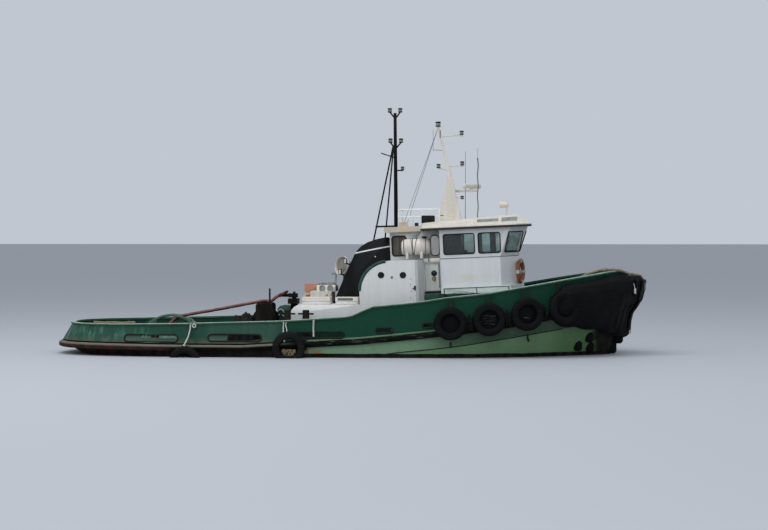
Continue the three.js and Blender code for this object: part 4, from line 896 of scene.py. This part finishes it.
deckhouse_look = worn("deckhouse", "d0d1d1", "c2c3bf", fade=0.4, gloss=0.36, bump=0.004, grain=0.04,
                      zones=deckhouse_zones)
carried("deckhouse", deckhouse_look, crease=25)
dark_green = worn("dark_green", "16382b", "2f5948", fade=0.5, rust=0.1, shine=0.15)
ARC_X, ARC_Z, ARC_REACH = 1.33, 2.16, 0.985
arc = np.radians(np.linspace(178, 94, 26))
band = np.column_stack([ARC_X + ARC_REACH * np.cos(arc), np.full(len(arc), -2.165),
                        ARC_Z + ARC_REACH * np.sin(arc)])
piece("deckhouse_edge", both(lie(tube(band, 0.06, 8))), dark_green)
black_glass = worn("black_glass", "0e1011", "202425", fade=0.5, rust=0.0, gloss=0.12, bump=0.0, shine=0.25)
PORT_RING = ((0.0, 0.006), (0.078, 0.006), (0.086, 0.016), (0.104, 0.016), (0.11, 0.008),
             (0.11, -0.004), (0.0, -0.004))
round_ports = [turned(PORT_RING, (x, HOUSE_SIDE, 2.743), TO_STARBOARD) for x in (0.969, 1.708)]
piece("deckhouse_ports", both(*round_ports), black_glass)
piece("deckhouse_seam", both(bar((1.33, -2.1985, 0.86), (1.33, -2.1985, 3.1), 0.006, 8)), cream)
knob = turned(((0, 0.03), (0.03, 0.026), (0.042, 0.0), (0, 0)), (1.335, HOUSE_SIDE, 2.67), TO_STARBOARD)
scraps = [block((x - 0.009, -2.206, z - 0.03), (x + 0.009, -2.196, z + 0.03), 0.004)
          for x, z in ((1.98, 2.62), (1.96, 2.43), (1.99, 2.2), (1.97, 1.98), (1.985, 1.8))]
piece("deckhouse_knobs", both(knob, *scraps), grey_metal)
latch = both(block((2.08, -2.235, 2.24), (2.15, -2.195, 2.39), 0.03, 4),
             bar((2.115, -2.225, 2.31), (2.03, -2.225, 2.29), 0.012))
piece("deckhouse_latches", latch, worn("latch_black", "1b1c1b", "3d3a35", rust=0.5))

# The passage between the houses: a narrow white house set back from the side, with a steel hatch that
# opens on two pins. A round lamp and a ring handle are on the leaf, and rust has run below them. The
# leaf's grey-white is set lighter as painted light, against the shade of the recess.
LEAF_X, LEAF_FACE, HANDLE_Z = 2.735, -1.75, 2.62


def leaf_zones(n):
    """Orange rust below the ring handle."""
    x, y, z = n.place()
    wide = n.maths("ABSOLUTE", n.minus(x, LEAF_X))
    run = n.times(n.ramp(wide, 0.12, 0.03), n.ramp(z, 2.7, 2.6), n.ramp(z, 2.42, 2.58))
    return {"Paint": n.mixed(n.times(run, n.noise(14.0)), "bdc1ba", "c78a4a"),
            "Rust": n.ramp(run, 0, 1, 0.1, 0.9)}


# Painted light: the leaf's grey-white is set lighter, to lift the shade of the recess.
leaf_look = worn("hatch_leaf", "bdc1ba", "a9ada6", fade=0.5, grain=0.05, zones=leaf_zones)
carried("passage_house", house_white)
carried("side_hatch_port", leaf_look, body="side_hatch_port")
carried("side_hatch_stbd", leaf_look, body="side_hatch_stbd")
LAMP = ((0.0, 0.05), (0.05, 0.048), (0.085, 0.03), (0.1, 0.0), (0, 0))
turn = np.linspace(0, 2 * np.pi, 20, endpoint=False)
handle = np.column_stack([LEAF_X + 0.055 * np.cos(turn), np.full(len(turn), -1.775),
                          HANDLE_Z + 0.055 * np.sin(turn)])
lamp_set = joined(turned(LAMP, (LEAF_X, -1.7505, 2.797), TO_STARBOARD), tube(handle, 0.011, 8, True),
                  bar((LEAF_X, LEAF_FACE, 2.675), (LEAF_X, -1.78, 2.675), 0.014))
pair(("hatch_lamp_starboard", "hatch_lamp_port"), lamp_set, black_glass,
     body="side_hatch_{}")
black_trim = worn("black_trim", "0c0d0d", "242321", fade=0.6, rust=0.2, gloss=0.5, shine=0.12)
# Painted shade: the sill is black, for the shade below the hatch at the foot of the recess.
sill = block((2.52, -1.84, 2.015), (3.09, -1.752, 2.075), 0.012)
piece("passage_sill", both(lie(sill)), black_trim)
piece("passage_box", both(lie(block((2.52, -1.9, 1.5), (3.09, -1.752, 1.99)))), dark_green)
piece("passage_ledge", both(lie(block((2.505, -1.83, 3.06), (3.095, -1.752, 3.19)))), cream)
pipe = [(2.56, -1.42, 3.95), (2.56, -1.6, 3.6), (2.56, -1.84, 3.33), (2.565, -1.86, 3.2)]
piece("passage_pipe", both(tube(spline(pipe, 24), 0.02, 8)), grey_metal)

# The forward trunk: the green house that carries the wheelhouse. Its upper edge is worn to a pale
# band with a ragged foot, and a dark handrail stands off it.


def trunk_zones(n):
    """Green below, a pale worn band at the top, and the handrail dark."""
    x, y, z = level_place(n)
    ragged = n.times(n.noise(2.0, 6.0, stretch=(2.0, 2.0, 2.0)), 0.12)
    falling = n.times(n.minus(x, 3.1), -0.02)
    pale = n.ramp(n.minus(z, n.plus(ragged, falling)), 1.915, 1.925)
    handrail = n.ramp(n.maths("ABSOLUTE", y), 2.26, 2.27)
    green = n.mixed(handrail, n.mixed(pale, "123527", "c0cdc8"), "2c3431")
    return {"Paint": green, "Faded": n.mixed(0.25, green, "8a9a92")}


trunk_look = worn("trunk", "143d2e", "2f5949", fade=0.4, rust=0.15, shine=0.15, zones=trunk_zones)
carried("forward_trunk", trunk_look)

# The wheelhouse: white walls under a band of large rounded windows, whose front leans out. Inside
# are a console and a seat, seen through slightly dirty glass.


def wall_zones(n):
    """A faint yellow stain on the side wall, round x = 4, z = 2.5."""
    x, y, z = level_place(n)
    away = n.add("CombineXYZ", {0: n.times(n.minus(x, 4.0), 1.6), 2: n.times(n.minus(z, 2.5), 4.0)})
    length = n.add("VectorMath", {0: away.outputs[0]}, operation="LENGTH").outputs["Value"]
    return {"Paint": n.mixed(n.times(n.ramp(length, 0.7, 0.1), n.noise(5.0)), "cdcfd0", "cfc5aa")}


wall_look = worn("wheelhouse", "cdcfd0", "c0c2c0", fade=0.4, rust=0.03, gloss=0.3, bump=0.002, grain=0.04,
                 zones=wall_zones)
carried("wheelhouse_walls", wall_look, crease=25)
frame_white = worn("frame_white", "c6c9c8", "b0b4b1", fade=0.4, rust=0.1, gloss=0.4, bump=0.004, grain=0.05)
carried("wheelhouse_windows", frame_white, crease=28)

window_glass = bpy.data.materials.new("window_glass")
window_glass.use_nodes = True
n = Nodes(window_glass.node_tree)
shader = window_glass.node_tree.nodes["Principled BSDF"]
shader.inputs["Metallic"].default_value = 0.0
shader.inputs["Transmission Weight"].default_value = 0.97
shader.inputs["IOR"].default_value = 1.45
dirt = n.ramp(n.noise(2.5, 6.0), 0.35, 0.75)
n.give(n.mixed(dirt, "c9dad5", "bcc4c0"), shader.inputs["Base Color"])
n.give(n.ramp(dirt, 0, 1, 0.03, 0.12), shader.inputs["Roughness"])
carried("wheelhouse_glass", window_glass, crease=20)
helm_look = worn("helm", "26282a", "44464a", fade=0.5, rust=0.0, gloss=0.5)
carried("helm_console", helm_look)
carried("helm_seat", worn("vinyl", "1e1f22", "35363a", fade=0.6, rust=0.0, gloss=0.55))

# Trim of the wheelhouse windows: rims of black rubber hold the panes, a thin metal lip runs under
# the band, and brown pleated curtains hang inside. A pipe goes down the after corner.
SIDE_WINDOWS = ((3.23, 4.27), (4.4, 5.14))
WINDOW_LOW, WINDOW_HIGH, WINDOW_ROUND, RIM = 3.29, 3.97, 0.07, 0.017
NOSE_X, NOSE_HALF, SIDE_HALF, NOSE_CUT, RAKE = 5.7, 1.25, 2.08, 0.58, 0.36
PROUD = 0.004


def window(low, high):
    """Outline of a wheelhouse window, along and up."""
    return round_rect(low, high, WINDOW_LOW, WINDOW_HIGH, WINDOW_ROUND)


def at_side(outline, y):
    """An outline set upright, fore and aft, at y."""
    return np.column_stack([outline[:, 0], np.full(len(outline), y), outline[:, 1]])


def leaning(z):
    """How far forward the front of the window band stands at z."""
    return RAKE * (z - 3.16) / 0.97


rims = [tube(at_side(window(x0, x1), -SIDE_HALF - PROUD), RIM, 8, True) for x0, x1 in SIDE_WINDOWS]
for middle in (-0.8, 0.0, 0.8):
    outline = window(middle - 0.35, middle + 0.35)
    rims.append(tube(np.column_stack([NOSE_X + leaning(outline[:, 1]) + PROUD, outline]), RIM, 8, True))
along = np.array([NOSE_CUT, SIDE_HALF - NOSE_HALF]) / math.hypot(NOSE_CUT, SIDE_HALF - NOSE_HALF)
out_way = np.array([along[1], -along[0]])
outline = window(-0.43, 0.43)
corner_mid = np.array([NOSE_X - NOSE_CUT / 2 + RAKE / 2, -(SIDE_HALF + NOSE_HALF) / 2])
face_off = (leaning(outline[:, 1]) - RAKE / 2) * out_way[0] + PROUD
plan = corner_mid + outline[:, :1] * along + face_off[:, None] * out_way
rims.append(tube(np.column_stack([plan, outline[:, 1]]), RIM, 8, True))
piece("window_rubbers", both(lie(*rims)), rubber("rim_rubber", "0d0e0f", "262828", coarse=30.0))
lip_path = np.array([(3.1, -2.083, 3.157), (5.12, -2.083, 3.157), (5.704, -1.25, 3.157),
                     (5.704, 1.25, 3.157), (5.12, 2.083, 3.157), (3.1, 2.083, 3.157)])
piece("window_lip", lie(tube(lip_path, 0.013, 8)), grey_metal)


def curtain(places, y, low, widest):
    """Hanging pleats: upright bars of uneven place and thickness, up to z = 4."""
    pleats = [bar((x, y, low), (x + rng.uniform(-0.01, 0.01), y, 4.0), rng.uniform(0.018, widest), 8)
              for x in places]
    return both(lie(*pleats))


piece("curtains", curtain(np.linspace(3.24, 3.76, 13), -1.93, 3.24, 0.028),
      worn("curtain", "332e27", "1a1816", fade=0.8, rust=0.0, gloss=0.9, shine=0.1))
posts = lie(block((4.79, -1.9, 3.2), (4.91, -1.84, 4.02)), block((5.22, -1.62, 3.24), (5.3, -1.56, 4.02)))
piece("window_posts", both(posts), helm_look)
piece("corner_pipe", both(lie(bar((3.045, -2.11, 2.2), (3.045, -2.11, 3.0), 0.024, 10))), grey_metal)

# The roof: a thick black edge under a low cream wedge that rises forward, with two grey-green roof
# lights on each slope. Small black boxes and the searchlight stand on it.


def roof_zones(n):
    """Black below the edge's top, cream above."""
    x, y, z = level_place(n)
    top = n.ramp(z, 4.2, 4.204)
    return {"Paint": n.mixed(top, "0d0e0f", "d8d2c8"), "Faded": n.mixed(top, "242526", "bdb2a2"),
            "Rust": n.ramp(top, 0, 1, 0.05, 0.2)}


roof_look = worn("roof", "d8d2c8", "bdb2a2", fade=0.5, gloss=0.4, zones=roof_zones)
carried("wheelhouse_roof", roof_look, crease=18)
roof_light = worn("roof_light", "66716a", "828a81", fade=0.7, rust=0.0, gloss=0.2)
ROWS, COLUMNS, PANE_LEAN = 7, 13, 0.02
lights, light_rims = [], []
for x0, x1, z0, z1 in ((4.19, 4.91, 4.52, 4.63), (5.01, 5.54, 4.55, 4.69)):
    pane_x, pane_z = np.meshgrid(np.linspace(x0, x1, COLUMNS), np.linspace(z0, z1, ROWS))
    pane_z = pane_z + (pane_x - (x0 + x1) / 2) * PANE_LEAN / (x1 - x0) * 2
    on_slope = skin("wheelhouse_roof", np.stack([pane_x, pane_z], -1).reshape(-1, 2))
    pane = on_slope.reshape(ROWS, COLUMNS, 3)
    rings = np.concatenate([pane + (0, -0.006, 0.014), pane[:, ::-1] - (0, 0, 0.02)], 1)
    lights.append((rings.reshape(-1, 3), capped(ROWS, 2 * COLUMNS)))
    around_pane = np.concatenate([pane[0], pane[1:-1, -1], pane[-1, ::-1], pane[-2:0:-1, 0]])
    light_rims.append(tube(around_pane + (0, 0, 0.004), 0.013, 8, True))
piece("roof_lights", both(*lights), roof_light)
piece("roof_light_rims", both(*light_rims), cream)
boxes = [block((2.27, -1.15, 4.5), (2.72, -0.85, 4.76)), bar((2.4, -1.0, 4.38), (2.4, -1.0, 4.54), 0.02),
         bar((2.6, -1.0, 4.38), (2.6, -1.0, 4.54), 0.02), bar((2.7, -1.0, 4.72), (3.0, -0.6, 4.77), 0.012),
         block((2.05, -1.3, 4.27), (2.18, -1.2, 4.51))]
piece("roof_boxes", joined(*boxes), black_trim)
SEARCH_HEAD, AHEAD = (5.16, -0.35, 5.13), (1, 0, 0)
SEARCH_DRUM = ((0.0, 0.075), (0.04, 0.07), (0.075, 0.04), (0.092, 0.0), (0.1, -0.1), (0.108, -0.2),
               (0.114, -0.205), (0.114, -0.232), (0.102, -0.236), (0.098, -0.222), (0.0, -0.222))
SEARCH_LENS = ((0.0, -0.228), (0.096, -0.224), (0.096, -0.218), (0.0, -0.218))
drum = joined(turned(SEARCH_DRUM, SEARCH_HEAD, AHEAD),
              bar((5.16, -0.35, 4.9803), (5.16, -0.35, 5.05), 0.024))
piece("searchlight_finish", drum, cream, body="searchlight", stands_for=["searchlight"])
piece("searchlight_lens", turned(SEARCH_LENS, SEARCH_HEAD, AHEAD), roof_light,
      body="searchlight")

# The upper house behind the wheelhouse, with a rounded curtained window, a grey panel with a dark
# rim, painted near white as painted light against the roof's shadow, and an edge plate stained yellow
# round the top.


def upper_zones(n):
    """Yellow stain on the edge plate, peach on the box over it, rust under the grey panel."""
    x, y, z = level_place(n)
    stain = n.times(n.ramp(z, 4.06, 4.12), n.ramp(n.noise(3.0), 0.3, 0.62))
    paint = n.mixed(n.ramp(z, 4.305, 4.31), n.mixed(stain, "b9bcbb", "c2ae8d"), "c9ac93")
    under = n.times(n.ramp(z, 3.28, 3.24), n.ramp(x, 2.7, 2.8))
    return {"Paint": paint, "Rust": n.ramp(under, 0, 1, 0.2, 0.8)}


upper_look = worn("upper_house", "b9bcbb", "a3a49b", fade=0.5, gloss=0.42, zones=upper_zones)
carried("upper_house", upper_look)
panel = round_rect(2.76, 3.05, 3.27, 3.96, 0.13)
pane_rim = tube(at_side(round_rect(1.44, 1.93, 3.31, 3.98, 0.09), -1.304), 0.02, 8, True)
panel_rim = tube(at_side(panel, -1.306), 0.018, 8, True)
piece("upper_window_rims", both(lie(pane_rim, panel_rim)), black_trim)
# Painted light: the pale grey panel is painted near white, to lift the shadow that the roof casts on it.
panel_painted_light_look = worn("grey_panel_painted_light", "f0f2ee", "dcdeda", rust=0.06, grain=0.05)
piece("upper_panels", both(lie(slab(at_side(panel, -1.316), at_side(panel, -1.296)))), panel_painted_light_look)
piece("upper_curtains", curtain(np.linspace(1.42, 1.95, 14), -1.25, 3.28, 0.026),
      worn("dark_curtain", "5f5a53", "45423d", fade=0.7, rust=0.0, gloss=0.9))
piece("upper_bars", both(block((2.3, -1.34, 3.98), (2.45, -1.3, 4.05), 0.01)), black_trim)

# Two life rafts in white glass-fibre canisters lie in cradles beside the upper house. Webbing
# straps, gone grey, hold them down.
raft_white = worn("raft_white", "d8d3c8", "b5afa2", fade=0.6, rust=0.08, gloss=0.35, grain=0.05)
RAFT_Y, RAFT_Z = -1.76, 3.59
RAFT_PROFILE = ((0.0, 0.0), (0.16, 0.004), (0.205, 0.02), (0.245, 0.06), (0.268, 0.11), (0.275, 0.13),
                (0.275, 0.3), (0.283, 0.31), (0.283, 0.34), (0.275, 0.35), (0.275, 0.62), (0.283, 0.63),
                (0.283, 0.66), (0.275, 0.67), (0.275, 0.85), (0.268, 0.87), (0.245, 0.92), (0.205, 0.96),
                (0.16, 0.976), (0.0, 0.98))
cradle = [block((x, RAFT_Y - 0.23, 3.191), (x + 0.09, RAFT_Y + 0.23, 3.47), 0.015) for x in (1.94, 2.42)]
raft = lie(turned(RAFT_PROFILE, (1.79, RAFT_Y, RAFT_Z), AHEAD, 40), *cradle)
pair(("raft_starboard", "raft_port"), raft, raft_white, "life_raft_{}")


def over_raft(x, degrees, off):
    """Points off the canister's axis, at a place along it and an angle up from starboard."""
    angle = np.radians(degrees)
    y, z = RAFT_Y - off * np.cos(angle), RAFT_Z + off * np.sin(angle)
    return np.column_stack([np.broadcast_to(x, angle.shape), y, z])


straps = [tube(over_raft(x, np.linspace(-70, 250, 40), 0.287), 0.012, 6) for x in (1.88, 2.18, 2.62)]
straps += [tube(over_raft(np.linspace(x, 2.21, 20), np.linspace(100, -70, 20), 0.29), 0.009, 6)
           for x in (2.1, 2.34)]
strap_look = worn("strap", "3c3a35", "6d675a", fade=0.8, rust=0.1, gloss=0.9)
piece("raft_straps", both(lie(*straps)), strap_look)

# The funnel: a black casing that leans forward over the engine to the upper house, with one thin
# white stripe and two floodlights on brackets, whose pale faces are painted highlights.


def funnel_zones(n):
    """A thin white stripe rising forward across the black, at 3.475 + 0.225 x - 0.025 x squared."""
    x, y, z = n.place()
    line = n.minus(n.plus(n.times(x, 0.225), 3.475), n.times(x, x, 0.025))
    stripe = n.ramp(n.maths("ABSOLUTE", n.minus(z, line)), 0.026, 0.02)
    return {"Paint": n.mixed(stripe, "0c0d0e", "d5d6d6"), "Faded": n.mixed(stripe, "1a1c1d", "b5b8b8")}


funnel_look = worn("funnel", "0c0d0e", "1a1c1d", fade=0.6, rust=0.03, gloss=0.45, shine=0.12,
                   zones=funnel_zones)
carried("funnel", funnel_look, crease=30)
# Painted highlights: the pale faces on the black floodlights stand for the light that they catch.
pale = worn("pale_lamp_highlight", "c8ccc9", "a5aaa6", fade=0.4, rust=0.0, gloss=0.25)
lamps = [block((x - 0.045, -0.508, z - 0.02), (x + 0.025, -0.49, z + 0.13), 0.008, 2)
         for x, z in ((-0.39, 3.13), (-0.58, 2.76))]
lamps.append(turned(((0, 0.02), (0.02, 0.015), (0.025, 0), (0, 0)), (0.657, -0.7, 3.345), TO_STARBOARD))
piece("floodlight_faces", joined(*lamps), pale)

# The masts. A black tube stands aft with raking legs and pairs of lanterns. A cream plate mast
# stands on the wheelhouse roof with arms for lanterns and the radar.
mast_black = worn("mast_black", "0b0c0d", "1a1c1e", fade=0.5, rust=0.08, gloss=0.45, shine=0.12)
carried("aft_mast", mast_black)
mast_cream = worn("mast_cream", "d2cec4", "b3ab9c", fade=0.4, rust=0.2, gloss=0.4)
carried("fore_mast", mast_cream, crease=25)
LANTERNS = ((1.11, 8.34, 1), (1.47, 8.34, 1), (1.13, 7.29, 1), (1.5, 7.29, 1), (1.55, 6.34, 0.85),
            (2.785, 7.842, 1.2), (3.6, 7.56, 0.95), (3.62, 6.5, 0.95), (2.8, 6.41, 0.95), (3.62, 5.33, 0.8))
LANTERN_BODY = ((0, 0.0), (0.078, 0.0), (0.078, 0.022), (0.05, 0.03), (0.05, 0.1), (0.078, 0.108),
                (0.076, 0.14), (0.02, 0.149), (0, 0.149))
LANTERN_LENS = ((0.05, 0.026), (0.066, 0.03), (0.07, 0.065), (0.066, 0.1), (0.05, 0.106))
for name, profile, look, slot in (("lantern_bodies", LANTERN_BODY, mast_black, "black_paint"),
                                  ("lantern_lenses", LANTERN_LENS, roof_light, "window_glass")):
    shapes = [turned(np.array(profile) * size, (x, 0.0, z), segments=16) for x, z, size in LANTERNS]
    piece(name, joined(*shapes), look)
wires = [tube(np.linspace((2.78, 0, 7.8), (1.63, side * 0.9, 4.42), 8), 0.008, 6) for side in (-1, 1)]
whip_z = np.linspace(4.6, 6.73, 40)
whip = np.column_stack([4.19 + 0.012 * np.sin(whip_z * 9), np.full(len(whip_z), -1.0), whip_z])
whips = [bar((3.74, -0.3, 4.62), (3.74, -0.3, 6.98), (0.014, 0.006), 8),
         bar((2.6, 0.25, 7.0), (2.6, 0.25, 7.75), 0.007, 6),
         bar((2.86, -0.04, 7.45), (2.86, -0.04, 7.72), 0.02, 8),
         bar((2.6, 0.25, 7.05), (2.98, 0.03, 7.02), 0.01, 6),
         tube(whip, 0.02, 8), bar((4.19, -1.0, 6.7), (4.19, -1.0, 7.07), 0.007, 6)]
piece("mast_wires", joined(*wires, *whips), grey_metal)

# The radar: a long closed scanner of moulded plastic on a short turned foot, on the fore mast's arm.
# The white top railing of welded tube stands behind it on the upper house.
SCANNER_TURN = math.radians(60)
RADAR = (3.95, 0.0, 5.665)
RADAR_FOOT = ((0, 0.0003), (0.06, 0.0003), (0.06, 0.03), (0.045, 0.06), (0, 0.06))
scanner_verts, scanner_faces = block((-0.55, -0.06, 0.035), (0.55, 0.06, 0.195), 0.05, 4)
x, y, z = scanner_verts.T
spun = np.column_stack([x * math.cos(SCANNER_TURN) - y * math.sin(SCANNER_TURN),
                        x * math.sin(SCANNER_TURN) + y * math.cos(SCANNER_TURN), z])
piece("radar_finish", joined((spun + RADAR, scanner_faces), turned(RADAR_FOOT, RADAR)), mast_cream,
      body="radar", stands_for=["radar"])
railing_white = worn("railing_white", "eceeec", "d5d8d4", fade=0.5, rust=0.05, gloss=0.4, grain=0.03)
carried("top_railing", railing_white)

# Life rings hang on the wheelhouse's forward corners: foam-filled plastic, faded orange, with four
# pale bands round each.
ring_orange = worn("ring_orange", "8a4f38", "7d5648", fade=0.8, rust=0.25, gloss=0.6, shine=0.15)
RING_TURN = math.radians(14)
RING_REACH, RING_THICK, BAND_THICK = 0.348, 0.0615, 0.066
ring_face = np.array([math.cos(RING_TURN), -math.sin(RING_TURN), 0.0])
ring_side = np.array([math.sin(RING_TURN), math.cos(RING_TURN), 0.0])
ring_centre = np.array([NOSE_X, -NOSE_HALF, 2.6]) + 0.0625 * ring_face


def ring_arc(low, high, count, radius, closed=False):
    """Part of the life ring, between two angles."""
    angle = np.radians(np.linspace(low, high, count, endpoint=not closed))[:, None]
    spokes = np.cos(angle) * ring_side + np.sin(angle) * np.array([0, 0, 1])
    return tube(ring_centre + RING_REACH * spokes, radius, 16, closed)


pair(("life_ring_starboard", "life_ring_port_side"), lie(ring_arc(0, 360, 60, RING_THICK, True)),
     ring_orange, "life_ring_{}")
bands = [ring_arc(at - 8, at + 8, 5, BAND_THICK) for at in (0, 90, 180, 270)]
piece("life_ring_bands", both(lie(*bands)), rope_white)

# Ventilation gear on the casing: a stepped white cabinet with round vents and a gooseneck, a cream
# cowl with its mouth aft, drawn grey as painted shade, and a salmon crate on a post.


def cabinet_zones(n):
    """A black cover over the upper tier, a grey gooseneck, and red-brown marks on the lower tier."""
    x, y, z = n.place()
    mark = n.times(n.ramp(x, -1.14, -1.08), n.ramp(z, 2.15, 2.12), n.ramp(z, 1.95, 2.0))
    mark = n.times(mark, n.ramp(n.noise(9.0), 0.46, 0.56))
    paint = n.mixed(n.ramp(z, 2.362, 2.366), n.mixed(mark, "cfccc2", "7c4a3c"), "17181a")
    return {"Paint": n.mixed(n.ramp(z, 2.432, 2.436), paint, "5d6468")}


carried("vent_cabinet", worn("cabinet", "cfccc2", "b0aa9c", fade=0.5, zones=cabinet_zones))
VENT = ((0.0, 0.002), (0.06, 0.004), (0.075, 0.018), (0.1, 0.018), (0.108, 0.006), (0.108, -0.002),
        (0.0, -0.002))
vents = [turned(VENT, (x, -0.52, 2.258), TO_STARBOARD) for x in (-1.196, -0.921)]
piece("cabinet_vents", joined(*vents), worn("vent_grey", "8d918f", "6d716f", fade=0.6, rust=0.3))
# Painted shade: the cream cowl is drawn mid grey, for the shade round its mouth.
cowl_shaded_look = worn("cowl", "8d8b85", "6f6e6a", fade=0.6, rust=0.15, gloss=0.45, shine=0.2)
carried("cowl_vent", cowl_shaded_look)
COWL_MOUTH, COWL_WAY, LIP_TURNS = (-0.66, 1.38, 3.0), (-0.18, -0.2, 0.04), 32
LIP = ((0.3, -0.02), (0.322, -0.02), (0.33, 0.06), (0.338, 0.07), (0.33, 0.085), (0.316, 0.075), (0.3, 0.0))
lip_verts = turned(LIP, COWL_MOUTH, COWL_WAY, LIP_TURNS)[0]
piece("cowl_lip", (lip_verts, [grid_faces(len(LIP), LIP_TURNS, wrap_rows=True)]), cream)


def crate_zones(n):
    """Salmon above, orange below beside a white post."""
    x, y, z = n.place()
    lower = n.mixed(n.ramp(x, -1.862, -1.855), "cfccc2", "b0593c")
    lower = n.mixed(n.ramp(z, 2.0, 2.01), lower, "c9bd9a")
    return {"Paint": n.mixed(n.ramp(z, 2.072, 2.076), lower, "b98068")}


crate_look = worn("crate", "b98068", "a08272", fade=0.7, rust=0.2, gloss=0.6, zones=crate_zones)
carried("gear_crate", crate_look)

# Towing gear: the hook swings on its post, and the rope is made fast to it. It lies taut over the
# winch's bars to the guard hoops, and drops between them to a cast eye on the deck.
tow_black = worn("tow_black", "080808", "1a1613", fade=0.7, rust=0.2, gloss=0.55, shine=0.1)
for node, body in (("tow_post", "boat"), ("tow_hook", "tow_hook"), ("winch_frame", "boat"),
                   ("winch_drum", "winch_drum")):
    carried(node, tow_black, body=body)
hawser = worn("hawser", "3f2622", "5f3a35", fade=0.8, rust=0.0, gloss=0.9, bump=0.02, shine=0.1)
pink_rope = worn("pink_rope", "7a5650", "96736c", fade=0.7, rust=0.0, gloss=0.9, bump=0.02, shine=0.1)
BARS = ((-3.08, 1.78), (-3.38, 1.78), (-4.75, 1.52), (-6.12, 1.275), (-6.38, 1.17), (-6.62, 0.98),
        (-6.9, 0.72), (-7.1, 0.55))
ropes = []
for off, radius, high, bars in ((0.02, 0.055, 0.0, BARS), (-0.1, 0.045, 0.02, BARS),
                                (0.13, 0.045, 0.01, BARS[:2])):
    path = [(-2.72, 0.13 + off, 2.02 + high), (-2.85, 0.07 + off, 1.93 + high)]
    path += [(x, off * (1.5 if x < -5 else 1.0), z + high * (z > 1)) for x, z in bars]
    ropes.append(rope(path, radius))
piece("tow_rope", joined(ropes[0], ropes[2]), hawser)
piece("tow_rope_second", ropes[1], pink_rope)
DECK_EYE = ((0.0, 0.15), (0.11, 0.14), (0.16, 0.1), (0.2, 0.02), (0.24, 0.0), (0.0, 0.0))
piece("rope_deck_eye", turned(DECK_EYE, (-7.1, 0.0, 0.47)), tow_black)
around = np.linspace(0, 2 * np.pi, 40, endpoint=False)
eye = np.column_stack([-2.62 + 0.12 * np.cos(around), 0.1 + 0.14 * np.sin(around),
                       2.04 + 0.07 * np.cos(around)])
piece("tow_rope_eye", tube(eye, 0.05, 12, True), hawser, body="tow_hook")

# On the towing deck: the green companion with pale rope over it, hoops that guard the steering gear
# hatch, gear under a dark cover behind the winch, and a hose along the rail.
carried("companion", dark_green)
s = np.linspace(0, 1, 16)
flakes = []
for drop, reach in ((0.12, 0.0), (0.3, 0.05)):
    height = 1.5 - drop + 0.08 * np.sin(s * 7) + reach * s
    flakes.append(rope(np.column_stack([-2.94 + 0.5 * s, np.full(len(s), 0.965), height]), 0.024))
piece("companion_ropes", joined(*flakes), rope_white)
hoop_green = worn("hoop_green", "3d5a4c", "7d8f80", fade=0.8, rust=0.5, gloss=0.6)
carried("guard_hoops", hoop_green)


def heap():
    """Gear under a cover: a rounded lump whose height is the root of 1 - u to the fourth, times the root
    of 1 - v to the fourth, with folds by sines."""
    steps, foot = 40, 0.455
    u, v = np.meshgrid(np.linspace(-1, 1, steps), np.linspace(-1, 1, steps), indexing="ij")
    rise = (1 - u ** 4) ** 0.5 * (1 - v ** 4) ** 0.5
    x = -3.98 + 0.44 * u + 0.03 * np.sin(7 * v)
    y = -0.35 + 0.75 * v + 0.03 * np.sin(9 * u)
    folds = 0.05 * np.sin(8 * u + 2 * v) + 0.05 * np.sin(11 * v - 3 * u) + 0.03 * np.sin(19 * u)
    z = 0.46 + rise * (0.83 + 0.1 * u + folds)
    top = np.stack([x, y, z], -1).reshape(-1, 3)
    faces = grid_faces(steps, steps, wrap_columns=False)
    return np.vstack([top, top * (1, 1, 0) + (0, 0, foot)]), [faces, faces[:, ::-1] + steps ** 2]


piece("gear_cover", heap(), worn("cover", "0f1211", "242623", fade=0.8, rust=0.05, gloss=0.85, bump=0.03,
                                 shine=0.12))
hose_x = np.linspace(-8.95, -7.35, 30)
hose = bulwark_skin(hose_x, rail(hose_x), -0.03) + (0, 0, 0.09)
hose[:, 2] += 0.008 * np.sin(hose_x * 9)
hose_look = worn("hose", "8a7a62", "6d604e", fade=0.7, rust=0.0, gloss=0.8, shine=0.1)
piece("rail_hose", tube(hose, 0.04, 10), hose_look)

# Mooring bitts of cast steel beside the casing and at the bow, and the bow line, wrapped against
# chafe, that leads from the bitt over the rail and down the fender. The engine is inside the casing.
for node in ("bitts_port", "bitts_stbd", "bow_bitt"):
    carried(node, tow_black)
carried("engine", worn("engine_green", "5a6f62", "44554b", fade=0.5, rust=0.1))
chafe = worn("chafe_cloth", "9a917f", "6e675a", fade=0.8, rust=0.1, gloss=0.95, bump=0.02)
bow_line_path = [(7.2, -0.46, 2.36), (7.9, -0.95, 2.75), (8.45, -1.25, 2.92), (8.75, -1.05, 2.91),
                 (9.05, -0.82, 2.88), (9.38, -0.55, 2.78), (9.7, -0.28, 2.71), (9.86, -0.16, 2.5),
                 (9.9, -0.12, 2.2)]
piece("bow_line", rope(bow_line_path, 0.05), chafe)

low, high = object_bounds()
